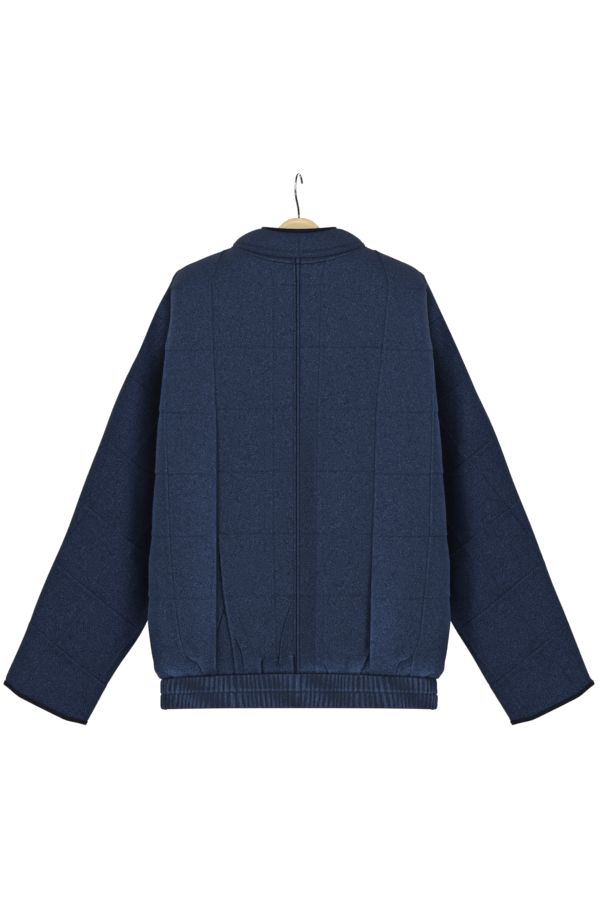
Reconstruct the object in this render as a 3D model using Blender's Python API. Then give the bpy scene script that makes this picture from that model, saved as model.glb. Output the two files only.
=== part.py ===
"""Quilted zip jacket on a wooden hanger, built as cut and sewn cloth walls.

Frame: metres, +Z up, origin under the top of the hook wire where a rail carries it.
The back of the jacket faces +Y, the zipped front faces -Y, +X is the wearer's left.
"""
import math

import bmesh
import bpy
import numpy as np

# Cloth and seams
CLOTH = 0.003
SEAM_GAP = 0.0004
HEM_GAP = 0.0006

# Quilting: square cells stitched through the cloth
QUILT_PITCH = 0.0871
QUILT_PUFF = 0.0020
GROOVE = 0.012
YOKE_LEVEL = -0.158
QUILT_ROWS = 7
QUILT_COLUMNS = (
    # arc from the centre seam at the yoke, and at the hem
    (0.031, 0.031),
    (0.114, 0.114),
    (0.197, 0.172),
)
ROLL_STEP = 0.009
COLUMN_STEP = 0.003
INNER_COLUMN = 0.55
MIDDLE_COLUMN = 5
ROLL_COLUMN = 10
LAP_COLUMN = 12
EXTRA_LEVELS = (-0.200, -0.640, -0.7055)

# Neck and shoulder
NECK_HALF_WIDTH = 0.095
NECK_BACK_DEPTH = 0.070
NECK_FRONT_DEPTH = 0.064
NECK_POINT_LEVEL = -0.1020
NECK_BACK_DIP = 0.019
NECK_FRONT_DIP = 0.0486
SHOULDER_LINE = (
    # x and z of the shoulder seam from the neck point to the tip
    (0.0950, -0.1020),
    (0.1010, -0.1040),
    (0.1136, -0.1090),
    (0.1278, -0.1146),
    (0.1406, -0.1201),
    (0.1548, -0.1260),
    (0.1647, -0.1314),
    (0.1718, -0.1370),
    (0.1775, -0.1427),
    (0.1803, -0.1480),
)
YOKE_STEPS = (0.0, 0.35, 0.7)
YOKE_ROUND = 0.72
YOKE_STEEP = (0.50, 0.35)

# Body sections, one row for each level
BODY_COLUMNS = ("level", "half_width", "back", "front", "roll", "notch", "arm")
BODY_SECTIONS = (
    (-0.158, 0.1820, 0.074, 0.066, 0.030, 0.0005, 0.0120),
    (-0.200, 0.1845, 0.077, 0.071, 0.041, 0.0065, 0.0270),
    (-0.248, 0.1900, 0.079, 0.075, 0.046, 0.0155, 0.0330),
    (-0.319, 0.1974, 0.080, 0.077, 0.047, 0.0300, 0.0340),
    (-0.418, 0.2045, 0.081, 0.078, 0.046, 0.0500, 0.0230),
    (-0.455, 0.2070, 0.082, 0.078, 0.045, 0.0580, 0.0002),
    (-0.500, 0.2092, 0.083, 0.078, 0.044, 0.0630, 0.0002),
    (-0.546, 0.2116, 0.084, 0.078, 0.043, 0.0570, 0.0002),
    (-0.600, 0.2138, 0.085, 0.078, 0.042, 0.0420, 0.0002),
    (-0.631, 0.2144, 0.085, 0.078, 0.042, 0.0330, 0.0002),
    (-0.660, 0.2116, 0.084, 0.077, 0.042, 0.0250, 0.0002),
    (-0.690, 0.2055, 0.077, 0.071, 0.038, 0.0140, 0.0002),
    (-0.7165, 0.1960, 0.063, 0.058, 0.031, 0.0030, 0.0002),
)
# Half a section up to its rolled fold: share of the half width, share of the depth, share of the roll
SECTION_TURN = (
    (0.00, 1.000, 0.00),
    (0.50, 1.010, 0.00),
    (0.80, 0.940, 0.00),
    (0.95, 0.583, 0.38),
    (1.00, 0.000, 1.00),
)
# The lap inside the fold: share of the notch, how far it has dropped to the seam where plain and where tucked
SECTION_LAP = (
    (0.50, 0.45, 0.06),
    (0.92, 0.80, 0.32),
    (1.00, 1.00, 1.00),
)
TUCKED_NOTCH = 0.030
UNDERARM_LEVEL = -0.455
HEM_LEVEL = -0.7165
HEM_RISE = 0.012
HEM_RISE_START = -0.600
FRONT_OPENING = 0.007

# The middle of the back falls inwards between two long folds
RECESS_DEPTH = 0.008
RECESS_EDGE = 0.010
RECESS_TOP = -0.340
RECESS_FULL = -0.600

# Blouse folds above the hem band: arc, half width, height out of the cloth
HEM_FOLDS = (
    (0.017, 0.020, -0.0035),
    (0.043, 0.022, 0.0040),
    (0.073, 0.024, -0.0035),
    (0.102, 0.018, 0.0030),
    (0.126, 0.022, 0.0050),
    (0.165, 0.026, -0.0040),
)
HEM_FOLD_TOP = -0.570
HEM_FOLD_FULL = -0.680
HEM_FLAT = 0.020
FRONT_FOLD_SHARE = 0.5
HEM_SAMPLES = 60

# Sleeve edges seen from behind, as (x, z)
OUTER_EDGE = (
    (0.1803, -0.1480),
    (0.2002, -0.1882),
    (0.2300, -0.2563),
    (0.2655, -0.3358),
    (0.3010, -0.4267),
    (0.3365, -0.5176),
    (0.3735, -0.6085),
    (0.4047, -0.6880),
    (0.4203, -0.7235),
)
INNER_EDGE = (
    (0.1490, -0.4550),
    (0.1630, -0.4690),
    (0.1790, -0.5100),
    (0.1940, -0.5680),
    (0.2144, -0.6310),
    (0.2527, -0.6887),
    (0.3025, -0.7775),
)
# Quilt rings down the sleeve: share of the outer edge, share of the inner edge, half thickness, lean
SLEEVE_COLUMNS = ("outer", "inner", "half_thick", "lean")
SLEEVE_RINGS = (
    (0.000, 0.000, 0.0340, 0.000),
    (0.232, 0.045, 0.0330, 0.000),
    (0.378, 0.095, 0.0320, 0.000),
    (0.533, 0.335, 0.0300, -0.001),
    (0.686, 0.580, 0.0270, -0.003),
    (0.842, 0.822, 0.0245, -0.005),
    (0.989, 0.981, 0.0225, -0.007),
)
RING_STEPS = (0.0, 0.13, 0.45, 0.87, 1.0, 1.13, 1.5, 1.87, 2.0, 2.13, 2.87, 3.0, 3.13,
              3.87, 4.0, 4.13, 4.87, 5.0, 5.13, 5.85, 6.0)
PLAIN_STEPS = (0.0, 0.13, 0.45, 1.0, 1.5, 2.0, 3.0, 4.0, 5.0, 6.0)
RING_FULLNESS = 0.42
SEAM_FADE = 0.045
SEAM_BEND = 4.0
ARMHOLE_BLEND = 1.2
CUFF_RUN = 20
CUFF_BULGE = 0.0090
CUFF_BULGE_EASE = 0.25
CUFF_BINDING = 0.0065
BINDING_PROUD = 0.0010

# Collar
COLLAR_STEPS = (0.0, 0.28, 0.52, 0.72, 0.88, 0.97, 1.0)
COLLAR_ROUND = 1.55
COLLAR_TOP_WIDTH = 0.553
COLLAR_TOP_BACK = 0.66
COLLAR_TOP_FRONT = 0.86
COLLAR_TOP_LEVEL = -0.0752
COLLAR_BACK_DIP = 0.0089
COLLAR_FRONT_DIP = 0.0300
COLLAR_BINDING_BACK = 0.0050
COLLAR_BINDING_SIDE = 0.0020

# Hem band
BAND_BOTTOM = -0.7590
BAND_GATHERS = 84
GATHER_DEPTH = 0.0022
BAND_STEPS = ((0.0, 0.15), (0.26, 1.0), (0.5, 0.35), (0.76, 1.0), (1.0, 0.25))

# Zip
TAPE_THICK = 0.0012
TAPE_CLEAR = 0.0008
CHAIN_HALF = 0.0032
CHAIN_SINK = 0.0008
SLIDER_AT = 0.70
SLIDER_WIDTH = 0.0090
SLIDER_LENGTH = 0.0120
SLIDER_THICK = 0.0026
EAR_GAP = 0.0032
EAR_THICK = 0.0013
EAR_HEIGHT = 0.0044
EAR_START = 0.0024
EAR_END = 0.0072
PIN_DOWN = 0.0048
PIN_DROP = 0.0015
PIN_RADIUS = 0.0007
PULL_THICK = 0.0016
PULL_EYE = 0.0011
PULL_BOSS = 0.0024
PULL_BOSS_HALF = 0.00114
# Pull tab: half width, distance below the pin
PULL_OUTLINE = (
    (0.0012, -0.0016),
    (0.0012, 0.0056),
    (0.0031, 0.0095),
    (0.0031, 0.0258),
    (0.0022, 0.0280),
)

# Hanger: x, top level, height, half depth
HANGER_SECTIONS = (
    (0.000, -0.0604, 0.040, 0.0065),
    (0.010, -0.0612, 0.040, 0.0065),
    (0.022, -0.0670, 0.037, 0.0065),
    (0.034, -0.0790, 0.031, 0.0065),
    (0.055, -0.0950, 0.026, 0.0065),
    (0.080, -0.1068, 0.025, 0.0065),
    (0.100, -0.1136, 0.025, 0.0060),
    (0.130, -0.1212, 0.024, 0.0060),
    (0.158, -0.1322, 0.021, 0.0055),
    (0.166, -0.1391, 0.013, 0.0045),
)
HANGER_ROUND = 0.5
HANGER_SIDES = 8

# Hook: wire bent in one upright plane, turned nearly edge on to the back view
HOOK_WIRE = 0.0016
HOOK_RADIUS = 0.0210
HOOK_TURN = math.radians(76.0)
HOOK_STEM = ((0.000, -0.0450), (0.002, -0.0370))
HOOK_ARC = (math.radians(-38.0), math.radians(155.0))
HOOK_ARC_STEPS = 14
HOOK_SECTIONS = 24
HOOK_SIDES = 7

SHARP_ANGLE = math.radians(40.0)

# Colours as linear red, green, blue
NAVY = (0.0200, 0.0325, 0.0690)
NAVY_DARK = (0.0042, 0.0056, 0.0130)
WOOD = (0.644, 0.501, 0.285)
STEEL = (0.300, 0.295, 0.285)
ZIP_METAL = (0.090, 0.095, 0.110)


def smooth_step(value):
    """Ease from 0 to 1."""
    value = np.clip(value, 0.0, 1.0)
    return value * value * (3.0 - 2.0 * value)


def hermite(at, knots, values):
    """Read smooth curves through the values at the knots."""
    knots = np.asarray(knots, float)
    values = np.asarray(values, float)
    at = np.asarray(at, float)
    slopes = np.gradient(values, knots, axis=0)
    low = np.clip(np.searchsorted(knots, at, side="right") - 1, 0, len(knots) - 2)
    span = knots[low + 1] - knots[low]
    t = (at - knots[low]) / span
    shape = t.shape + (1,) * (values.ndim - 1)
    t = t.reshape(shape)
    span = span.reshape(shape)
    start = values[low] * (1 + 2 * t) * (1 - t) ** 2 + slopes[low] * span * t * (1 - t) ** 2
    end = values[low + 1] * t * t * (3 - 2 * t) - slopes[low + 1] * span * t * t * (1 - t)
    return start + end


def arc_lengths(points):
    """Distance along a line of points."""
    steps = np.linalg.norm(np.diff(points, axis=0), axis=1)
    return np.concatenate(([0.0], np.cumsum(steps)))


def smooth_curve(points, count=160):
    """A dense smooth line through a few points."""
    points = np.asarray(points, float)
    along = arc_lengths(points)
    return hermite(np.linspace(0.0, along[-1], count), along, points)


def along_curve(curve, distances):
    """Points of a dense line at given distances."""
    lengths = arc_lengths(curve)
    return np.stack([np.interp(distances, lengths, axis) for axis in curve.T], axis=-1)


def unit(vectors):
    """Vectors of length one."""
    return vectors / np.maximum(np.linalg.norm(vectors, axis=-1, keepdims=True), 1e-12)


def table_row(level, columns, rows):
    """Named sizes of a section table at one level, whose first column runs downwards."""
    rows = np.asarray(rows)
    values = hermite(-level, -rows[:, 0], rows)
    return dict(zip(columns, values))


def quilt_levels():
    """Levels of the quilting's level lines."""
    return [YOKE_LEVEL - QUILT_PITCH * row for row in range(QUILT_ROWS)]


def row_levels():
    """Levels of the body's rows below the yoke, three to a quilt line."""
    levels = [YOKE_LEVEL, YOKE_LEVEL - GROOVE, UNDERARM_LEVEL, HEM_LEVEL]
    for line in quilt_levels()[1:]:
        levels += [line + GROOVE, line, line - GROOVE]
    return sorted(levels + list(EXTRA_LEVELS), reverse=True)


def quilt_arcs(level):
    """Arc of each upright quilt line at a level."""
    share = (level - YOKE_LEVEL) / (HEM_LEVEL - YOKE_LEVEL)
    return [yoke + (hem - yoke) * share for yoke, hem in QUILT_COLUMNS]


def section_curve(level, face):
    """Half a body section from the centre seam to the side, back (+1) or front (-1).

    Also gives the arcs of the rolled fold and of the corner inside it.
    """
    size = table_row(level, BODY_COLUMNS, BODY_SECTIONS)
    arm = max(size["arm"], SEAM_GAP / 2)
    roll = size["roll"]
    depth = size["back"] if face > 0 else size["front"]
    width = size["half_width"]
    notch = size["notch"]
    tucked = smooth_step(notch / TUCKED_NOTCH)
    turn = [(across * width, out * depth + rolled * roll) for across, out, rolled in SECTION_TURN]
    lap = []
    for inwards, plain_drop, tucked_drop in SECTION_LAP:
        drop = plain_drop + (tucked_drop - plain_drop) * tucked
        lap.append((width - inwards * notch, roll - drop * (roll - arm)))
    curve = smooth_curve(turn + lap)
    lengths = arc_lengths(curve)
    marks = [lengths[np.argmin(np.linalg.norm(curve - mark, axis=1))] for mark in (turn[-1], lap[-2])]
    return curve * np.array((1.0, face)), marks


def column_arcs(level, length, marks, start):
    """Arcs of the panel's columns at a level, three close to the rolled fold."""
    first, second, third = quilt_arcs(level)
    fold, corner = marks
    arcs = [start, INNER_COLUMN * first, first, first + GROOVE, 0.5 * (first + second),
            second - GROOVE, second, second + GROOVE, third - GROOVE, third,
            fold - ROLL_STEP, fold, fold + ROLL_STEP, corner, length]
    for index in range(ROLL_COLUMN, len(arcs)):
        arcs[index] = max(arcs[index], arcs[index - 1] + COLUMN_STEP)
    arcs[-1] = length
    for index in reversed(range(len(arcs) - 1)):
        arcs[index] = min(arcs[index], arcs[index + 1] - COLUMN_STEP)
    return np.array(arcs)


def neck_edge(arcs, face):
    """Points of the neck curve for columns up to the neck point."""
    angle = np.asarray(arcs) / QUILT_COLUMNS[1][0] * math.pi / 2
    depth = NECK_BACK_DEPTH if face > 0 else NECK_FRONT_DEPTH
    dip = NECK_BACK_DIP if face > 0 else NECK_FRONT_DIP
    cos = np.cos(angle)
    level = NECK_POINT_LEVEL - dip * cos * cos
    return np.stack([NECK_HALF_WIDTH * np.sin(angle), face * depth * cos, level], axis=-1)


def body_grid(face):
    """Rows by columns of points of half the back or front, with each point's arc."""
    start = FRONT_OPENING if face < 0 else 0.0
    rows = []
    arcs_of_rows = []
    for level in row_levels():
        curve, marks = section_curve(level, face)
        length = arc_lengths(curve)[-1]
        arcs = column_arcs(level, length, marks, start)
        points = along_curve(curve, arcs)
        rise = HEM_RISE * smooth_step((HEM_RISE_START - level) / (HEM_RISE_START - HEM_LEVEL))
        levels = level + rise * (1.0 - (arcs / length) ** 2)
        rows.append(np.column_stack([points, levels]))
        arcs_of_rows.append(arcs)
    yoke, yoke_arcs = rows[0], arcs_of_rows[0]
    neck_count = 1 + list(yoke_arcs).index(QUILT_COLUMNS[1][0])
    neck = neck_edge(yoke_arcs[:neck_count], face)
    share = (yoke_arcs[neck_count:] - yoke_arcs[neck_count - 1])
    share = share / share[-1]
    seam = smooth_curve(SHOULDER_LINE)
    seam_points = along_curve(seam, share * arc_lengths(seam)[-1])
    shoulder = np.stack([seam_points[:, 0], np.zeros(len(share)), seam_points[:, 1]], axis=-1)
    top = np.vstack([neck, shoulder])
    if face < 0:
        top[0, 0] = FRONT_OPENING
    steep = YOKE_STEEP[0] + YOKE_STEEP[1] * np.clip(top[:, 0] / NECK_HALF_WIDTH, 0.0, 1.0)
    control = np.stack([
        0.5 * (top[:, 0] + yoke[:, 0]),
        YOKE_ROUND * yoke[:, 1] + (1.0 - YOKE_ROUND) * top[:, 1],
        steep * top[:, 2] + (1.0 - steep) * yoke[:, 2],
    ], axis=-1)
    above = [(1 - t) ** 2 * top + 2 * t * (1 - t) * control + t * t * yoke for t in YOKE_STEPS]
    grid = np.array(above + rows)
    arcs = np.array([yoke_arcs] * len(above) + arcs_of_rows)
    limit = SEAM_GAP / 2
    grid[..., 1] = face * np.maximum(face * grid[..., 1], limit)
    grid[..., 0] = np.maximum(grid[..., 0], limit)
    return grid, arcs, neck_count


def grid_normals(grid, outward, closed=False):
    """Unit normals of a grid, turned to the side of the outward vectors."""
    down = np.gradient(grid, axis=0)
    if closed:
        across = np.roll(grid, -1, axis=1) - np.roll(grid, 1, axis=1)
    else:
        across = np.gradient(grid, axis=1)
    normals = unit(np.cross(down, across))
    turn = np.sign(np.sum(normals * outward))
    return normals * turn


def plan_normals(line):
    """Level normals of a line round the jacket, pointing out, square to the front at its ends."""
    run = np.gradient(line[:, :2], axis=0)
    normals = unit(np.stack([-run[:, 1], run[:, 0], np.zeros(len(line))], axis=-1))
    normals = normals * np.sign(np.sum(normals[:, :2] * line[:, :2]))
    normals[(0, -1), :] = (0.0, -1.0, 0.0)
    return normals


def groove_mask(distance):
    """0 on a quilt line, 1 beyond the groove."""
    return smooth_step(np.abs(distance) / GROOVE)


def body_relief(grid, arcs):
    """Height of the quilted puffs over a body grid."""
    lines = np.array([quilt_arcs(level) for level in np.minimum(grid[:, MIDDLE_COLUMN, 2], YOKE_LEVEL)])
    levels = np.array(quilt_levels())
    upright = np.min(np.abs(arcs[:, :, None] - lines[:, None, :]), axis=2)
    level = np.min(np.abs(grid[:, :, 2, None] - levels), axis=2)
    mask = groove_mask(upright) * groove_mask(level)
    mask[0] = 0.0
    mask[-1] = 0.0
    mask[:, 0] = 0.0
    mask[:, LAP_COLUMN:] = 0.0
    return QUILT_PUFF * mask


def body_folds(grid, arcs):
    """How far the wall leaves its section at the long folds and the blouse folds.

    A blouse fold's half width is two deviations of its bell shape.
    """
    level = grid[..., 2]
    depth = smooth_step((RECESS_TOP - level) / (RECESS_TOP - RECESS_FULL))
    inside = 1.0 - smooth_step((arcs - QUILT_COLUMNS[1][0] + RECESS_EDGE) / (2 * RECESS_EDGE))
    hem = smooth_step((level - HEM_LEVEL - HEM_RISE) / HEM_FLAT)
    move = -RECESS_DEPTH * depth * inside * hem
    grow = smooth_step((HEM_FOLD_TOP - level) / (HEM_FOLD_TOP - HEM_FOLD_FULL)) * hem
    for arc, half_width, height in HEM_FOLDS:
        move = move + height * grow * np.exp(-2.0 * ((arcs - arc) / half_width) ** 2)
    return move


def seam_normals(own, other, away):
    """Edge normals that meet the other piece's normals where the seam bends outwards."""
    bend = np.sum(away * other, axis=-1, keepdims=True)
    share = smooth_step(0.5 - SEAM_BEND * bend)
    return unit(own + share * other)


def sleeve_ring_sizes(step):
    """Sizes of the sleeve ring at a step down the sleeve."""
    rows = np.asarray(SLEEVE_RINGS)
    return dict(zip(SLEEVE_COLUMNS, hermite(step, np.arange(len(rows)), rows)))


def sleeve_grid(loop):
    """Rings of points from the armhole loop down to the cuff, and each column's share down a ring."""
    outer = smooth_curve(OUTER_EDGE, 400)
    inner = smooth_curve(INNER_EDGE, 400)
    outer_length = arc_lengths(outer)[-1]
    inner_length = arc_lengths(inner)[-1]
    low = int(np.argmin(loop[:, 2]))
    chord = loop[low] - loop[0]
    share = np.clip((loop - loop[0]) @ chord / (chord @ chord), 0.0, 1.0)
    share[low] = 1.0
    straight = loop[0] + share[:, None] * chord
    stray = loop - straight
    side = np.sign(loop[:, 1])
    side[0] = 0.0
    side[low] = 0.0
    oval = side * (1.0 - (2.0 * share - 1.0) ** 2) ** RING_FULLNESS
    run = unit(outer[-1] - outer[-CUFF_RUN] + inner[-1] - inner[-CUFF_RUN])
    bulge = CUFF_BULGE * smooth_step(share / CUFF_BULGE_EASE) * smooth_step((1.0 - share) / CUFF_BULGE_EASE)
    rings = []
    for step in RING_STEPS:
        size = sleeve_ring_sizes(step)
        near_cuff = bulge * float(smooth_step(step - RING_STEPS[-1] + 1.0))
        top = along_curve(outer, size["outer"] * outer_length)
        bottom = along_curve(inner, size["inner"] * inner_length)
        line = top + share[:, None] * (bottom - top)
        blend = float(smooth_step(step / ARMHOLE_BLEND))
        y = (1 - blend) * loop[:, 1] + blend * (size["lean"] + size["half_thick"] * oval)
        rings.append(np.stack([
            line[:, 0] + (1 - blend) * stray[:, 0] + near_cuff * run[0],
            y,
            line[:, 1] + (1 - blend) * stray[:, 2] + near_cuff * run[1],
        ], axis=-1))
    return np.array(rings), share


def sleeve_relief(grid, share):
    """Height of the quilted puffs over the sleeve's rings."""
    steps = np.array(RING_STEPS)
    lengths = np.linalg.norm(grid.max(axis=1) - grid.min(axis=1), axis=1)
    cross = np.abs(steps[:, None] - np.arange(1, len(SLEEVE_RINGS) - 1)).min(axis=1) * QUILT_PITCH
    top, bottom = SHOULDER_LINE[-1][1], UNDERARM_LEVEL
    lines = (np.array(quilt_levels()[1:4]) - top) / (bottom - top)
    along = np.abs(share[:, None] - lines).min(axis=1)[None, :] * lengths[:, None]
    from_seam = np.linalg.norm(grid - grid[0], axis=2)
    mask = groove_mask(cross)[:, None] * groove_mask(along) * smooth_step(from_seam / SEAM_FADE)
    mask[-1] = 0.0
    return QUILT_PUFF * mask


def collar_profile(rise):
    """How much a collar ring has drawn in at a share of its height, 0 to 1."""
    return 1.0 - (1.0 - rise ** COLLAR_ROUND) ** (1.0 / COLLAR_ROUND)


def collar_grid(base):
    """Rows of points from the neck seam to the top edge of half the collar."""
    cos = np.clip(base[:, 1] / np.where(base[:, 1] > 0, NECK_BACK_DEPTH, NECK_FRONT_DEPTH), -1, 1)
    dip = np.where(base[:, 1] > 0, COLLAR_BACK_DIP, COLLAR_FRONT_DIP)
    top_level = COLLAR_TOP_LEVEL - dip * cos * cos
    top_depth = np.where(base[:, 1] > 0, COLLAR_TOP_BACK, COLLAR_TOP_FRONT)
    rows = []
    for rise in COLLAR_STEPS:
        drawn = collar_profile(rise)
        rows.append(np.stack([
            base[:, 0] * (1 - (1 - COLLAR_TOP_WIDTH) * drawn),
            base[:, 1] * (1 - (1 - top_depth) * drawn),
            base[:, 2] + (top_level - base[:, 2]) * rise,
        ], axis=-1))
    grid = np.array(rows)
    grid[:, 0, 0] = base[0, 0]
    grid[:, -1, 0] = base[-1, 0]
    return grid


def make_material(name, colour, roughness, metallic=0.0):
    """A plain surface finish."""
    material = bpy.data.materials.new(name)
    material.use_nodes = True
    shader = material.node_tree.nodes["Principled BSDF"]
    shader.inputs["Base Color"].default_value = (*colour, 1.0)
    shader.inputs["Roughness"].default_value = roughness
    shader.inputs["Metallic"].default_value = metallic
    return material


def make_object(name, points, faces, material):
    """A named closed mesh with its faces pointing out."""
    mesh = bpy.data.meshes.new(name)
    mesh.from_pydata([tuple(point) for point in points], [], faces)
    work = bmesh.new()
    work.from_mesh(mesh)
    bmesh.ops.recalc_face_normals(work, faces=work.faces)
    work.to_mesh(mesh)
    work.free()
    mesh.materials.append(material)
    mesh.shade_smooth()
    mesh.set_sharp_from_angle(angle=SHARP_ANGLE)
    made = bpy.data.objects.new(name, mesh)
    bpy.context.scene.collection.objects.link(made)
    return made


def wall(name, outer, inner, material, closed=False):
    """A cloth wall between an outer and an inner grid, closed round its rims."""
    rows, columns = outer.shape[:2]
    inner_rows = inner.shape[0]
    points = np.vstack([outer.reshape(-1, 3), inner.reshape(-1, 3)])
    shift = rows * columns

    def out(row, column):
        return row * columns + column % columns

    def into(row, column):
        return shift + row * columns + column % columns

    faces = []
    spans = columns if closed else columns - 1
    for column in range(spans):
        after = column + 1
        for row in range(rows - 1):
            faces.append((out(row, column), out(row, after), out(row + 1, after), out(row + 1, column)))
        for row in range(inner_rows - 1):
            faces.append((into(row + 1, column), into(row + 1, after), into(row, after), into(row, column)))
        faces.append((out(0, after), out(0, column), into(0, column), into(0, after)))
        last, inner_last = rows - 1, inner_rows - 1
        faces.append((out(last, column), out(last, after), into(inner_last, after), into(inner_last, column)))
    if not closed:
        for column in (0, columns - 1):
            if inner_rows == rows:
                for row in range(rows - 1):
                    faces.append((out(row, column), out(row + 1, column),
                                  into(row + 1, column), into(row, column)))
            else:
                faces.append([out(row, column) for row in range(rows)]
                             + [into(row, column) for row in reversed(range(inner_rows))])
    return make_object(name, points, faces, material)


def swept(name, sections, material):
    """A solid through closed sections, capped at both ends."""
    count, sides = sections.shape[:2]
    faces = []
    for row in range(count - 1):
        for side in range(sides):
            after = (side + 1) % sides
            faces.append((row * sides + side, row * sides + after,
                          (row + 1) * sides + after, (row + 1) * sides + side))
    faces.append(tuple(range(sides)))
    faces.append(tuple((count - 1) * sides + side for side in range(sides)))
    return make_object(name, sections.reshape(-1, 3), faces, material)


def mirrored(points):
    """The same points on the wearer's other side."""
    return points * np.array((-1.0, 1.0, 1.0))


def both_sides(name, outer, inner, material, closed=False):
    """A wall for each side of the jacket."""
    wall(name + "_left", outer, inner, material, closed)
    wall(name + "_right", mirrored(outer), mirrored(inner), material, closed)


def body_walls(panels):
    """Outer and inner grids of the back and front halves."""
    walls = {}
    for face, panel in panels.items():
        grid, arcs, normals = panel["grid"], panel["arcs"], panel["normals"]
        relief = body_relief(grid, arcs)
        folds = body_folds(grid, arcs) * (1.0 if face > 0 else FRONT_FOLD_SHARE)
        folds[:, -1] = 0.0
        outer = grid + normals * (relief + folds)[..., None]
        inner = grid + normals * (folds - CLOTH)[..., None]
        walls[face] = (outer, inner)
    return walls


def body_panel(face):
    """Points, arcs and normals of half the back or front, square to its seams."""
    grid, arcs, neck_count = body_grid(face)
    normals = grid_normals(grid, np.array((0.0, face, 0.0)))
    under = len(YOKE_STEPS) + row_levels().index(UNDERARM_LEVEL)
    normals[:, 0, 0] = 0.0
    normals[0, neck_count - 1:, 1] = 0.0
    normals[under:, -1, 1] = 0.0
    normals = unit(normals)
    return {"grid": grid, "arcs": arcs, "normals": normals, "neck_count": neck_count, "under": under}


def armhole_loop(panels):
    """The armhole round the back and up the front, with the cloth's run away from it and its normals."""
    back, front = panels[1], panels[-1]
    under = back["under"]

    def around(back_points, front_points):
        return np.vstack([back_points[:under + 1], front_points[1:under][::-1]])

    loop = around(back["grid"][:, -1], front["grid"][:, -1])
    loop[0, 1] = 0.0
    loop[under, 1] = 0.0
    away = around(back["grid"][:, -2] - back["grid"][:, -1], front["grid"][:, -2] - front["grid"][:, -1])
    normals = around(back["normals"][:, -1], front["normals"][:, -1])
    return loop, away, normals


def set_armhole_normals(panels, normals):
    """Give the panels' armhole edges the normals shared with the sleeve."""
    under = panels[1]["under"]
    panels[1]["normals"][1:under, -1] = normals[1:under]
    panels[-1]["normals"][1:under, -1] = normals[under + 1:][::-1]
    tip = unit(normals[0] * np.array((1.0, 0.0, 1.0)))
    for panel in panels.values():
        panel["normals"][0, -1] = tip


def square_to(edge, vectors, closed=False):
    """The part of each vector that is square to the edge it starts from."""
    if closed:
        run = unit(np.roll(edge, -1, axis=0) - np.roll(edge, 1, axis=0))
    else:
        run = unit(np.gradient(edge, axis=0))
    return unit(vectors - np.sum(vectors * run, axis=-1, keepdims=True) * run)


def parted(edge, away_own, away_other):
    """An edge moved a seam's gap off the piece it is sewn to."""
    return edge + SEAM_GAP * unit(away_own - away_other)


def make_body_and_sleeves(cloth, dark):
    """Back, fronts, sleeves, cuff bindings, collar and collar binding."""
    panels = {face: body_panel(face) for face in (1, -1)}
    loop, body_away, body_normals = armhole_loop(panels)
    grid, share = sleeve_grid(loop)
    sleeve_away = square_to(loop, grid[1] - grid[0], closed=True)
    body_away = square_to(loop, body_away, closed=True)
    body_away[panels[1]["under"]] = (-1.0, 0.0, 0.0)
    grid[0] = parted(grid[0], sleeve_away, body_away)
    centre = grid.mean(axis=1, keepdims=True)
    normals = grid_normals(grid, grid - centre, closed=True)
    sleeve_edge = normals[0].copy()
    normals[0] = seam_normals(sleeve_edge, body_normals, sleeve_away)
    set_armhole_normals(panels, seam_normals(body_normals, sleeve_edge, body_away))

    collar_base, collar_away, neck_normals = neck_line(panels)
    collar = collar_grid(collar_base)
    rise = square_to(collar_base, collar[1] - collar[0])
    collar_away = square_to(collar_base, collar_away)
    collar[0] = parted(collar[0], rise, collar_away)
    collar[0, 0, 0] = SEAM_GAP / 2
    collar[0, -1, 0] = FRONT_OPENING
    out = collar * np.array((1.0, 1.0, 0.0))
    collar_normals = grid_normals(collar, out)
    collar_normals[:, (0, -1), 0] = 0.0
    collar_normals = unit(collar_normals)
    collar_edge = collar_normals[0].copy()
    collar_normals[0] = seam_normals(collar_edge, neck_normals, rise)
    set_neck_normals(panels, seam_normals(neck_normals, collar_edge, collar_away))

    for face, (outer, inner) in body_walls(panels).items():
        both_sides("back" if face > 0 else "front", outer, inner, cloth)
    plain = [RING_STEPS.index(step) for step in PLAIN_STEPS]
    both_sides("sleeve", grid + normals * sleeve_relief(grid, share)[..., None],
               (grid - normals * CLOTH)[plain], cloth, closed=True)
    make_cuff_bindings(grid, normals, dark)
    both_sides("collar", collar, collar - collar_normals * CLOTH, cloth)
    make_collar_binding(collar, dark)
    return panels, collar, collar_normals


def neck_line(panels):
    """The neck seam from the centre back round to the front opening."""
    back, front = panels[1], panels[-1]
    count = back["neck_count"]

    def around(back_points, front_points):
        return np.vstack([back_points[:count], front_points[:count - 1][::-1]])

    base = around(back["grid"][0], front["grid"][0])
    base[count - 1, 1] = 0.0
    away = around(back["grid"][1] - back["grid"][0], front["grid"][1] - front["grid"][0])
    normals = around(back["normals"][0], front["normals"][0])
    return base, away, normals


def set_neck_normals(panels, normals):
    """Give the panels' neck edges the normals shared with the collar."""
    count = panels[1]["neck_count"]
    panels[1]["normals"][0, 1:count - 1] = normals[1:count - 1]
    panels[-1]["normals"][0, 1:count - 1] = normals[count:-1][::-1]


def make_cuff_bindings(grid, normals, dark):
    """A narrow bound edge round each cuff."""
    cuff, cuff_normals = grid[-1], normals[-1]
    run = unit((grid[-1] - grid[-2]).mean(axis=0))
    steps = ((SEAM_GAP, 0.0), (0.5 * CUFF_BINDING, BINDING_PROUD), (CUFF_BINDING, 0.0))
    outer = np.array([cuff + run * step + cuff_normals * proud for step, proud in steps])
    inner = np.array([cuff + run * step - cuff_normals * (CLOTH + proud) for step, proud in steps])
    both_sides("cuff_binding", outer, inner, dark, closed=True)


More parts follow.
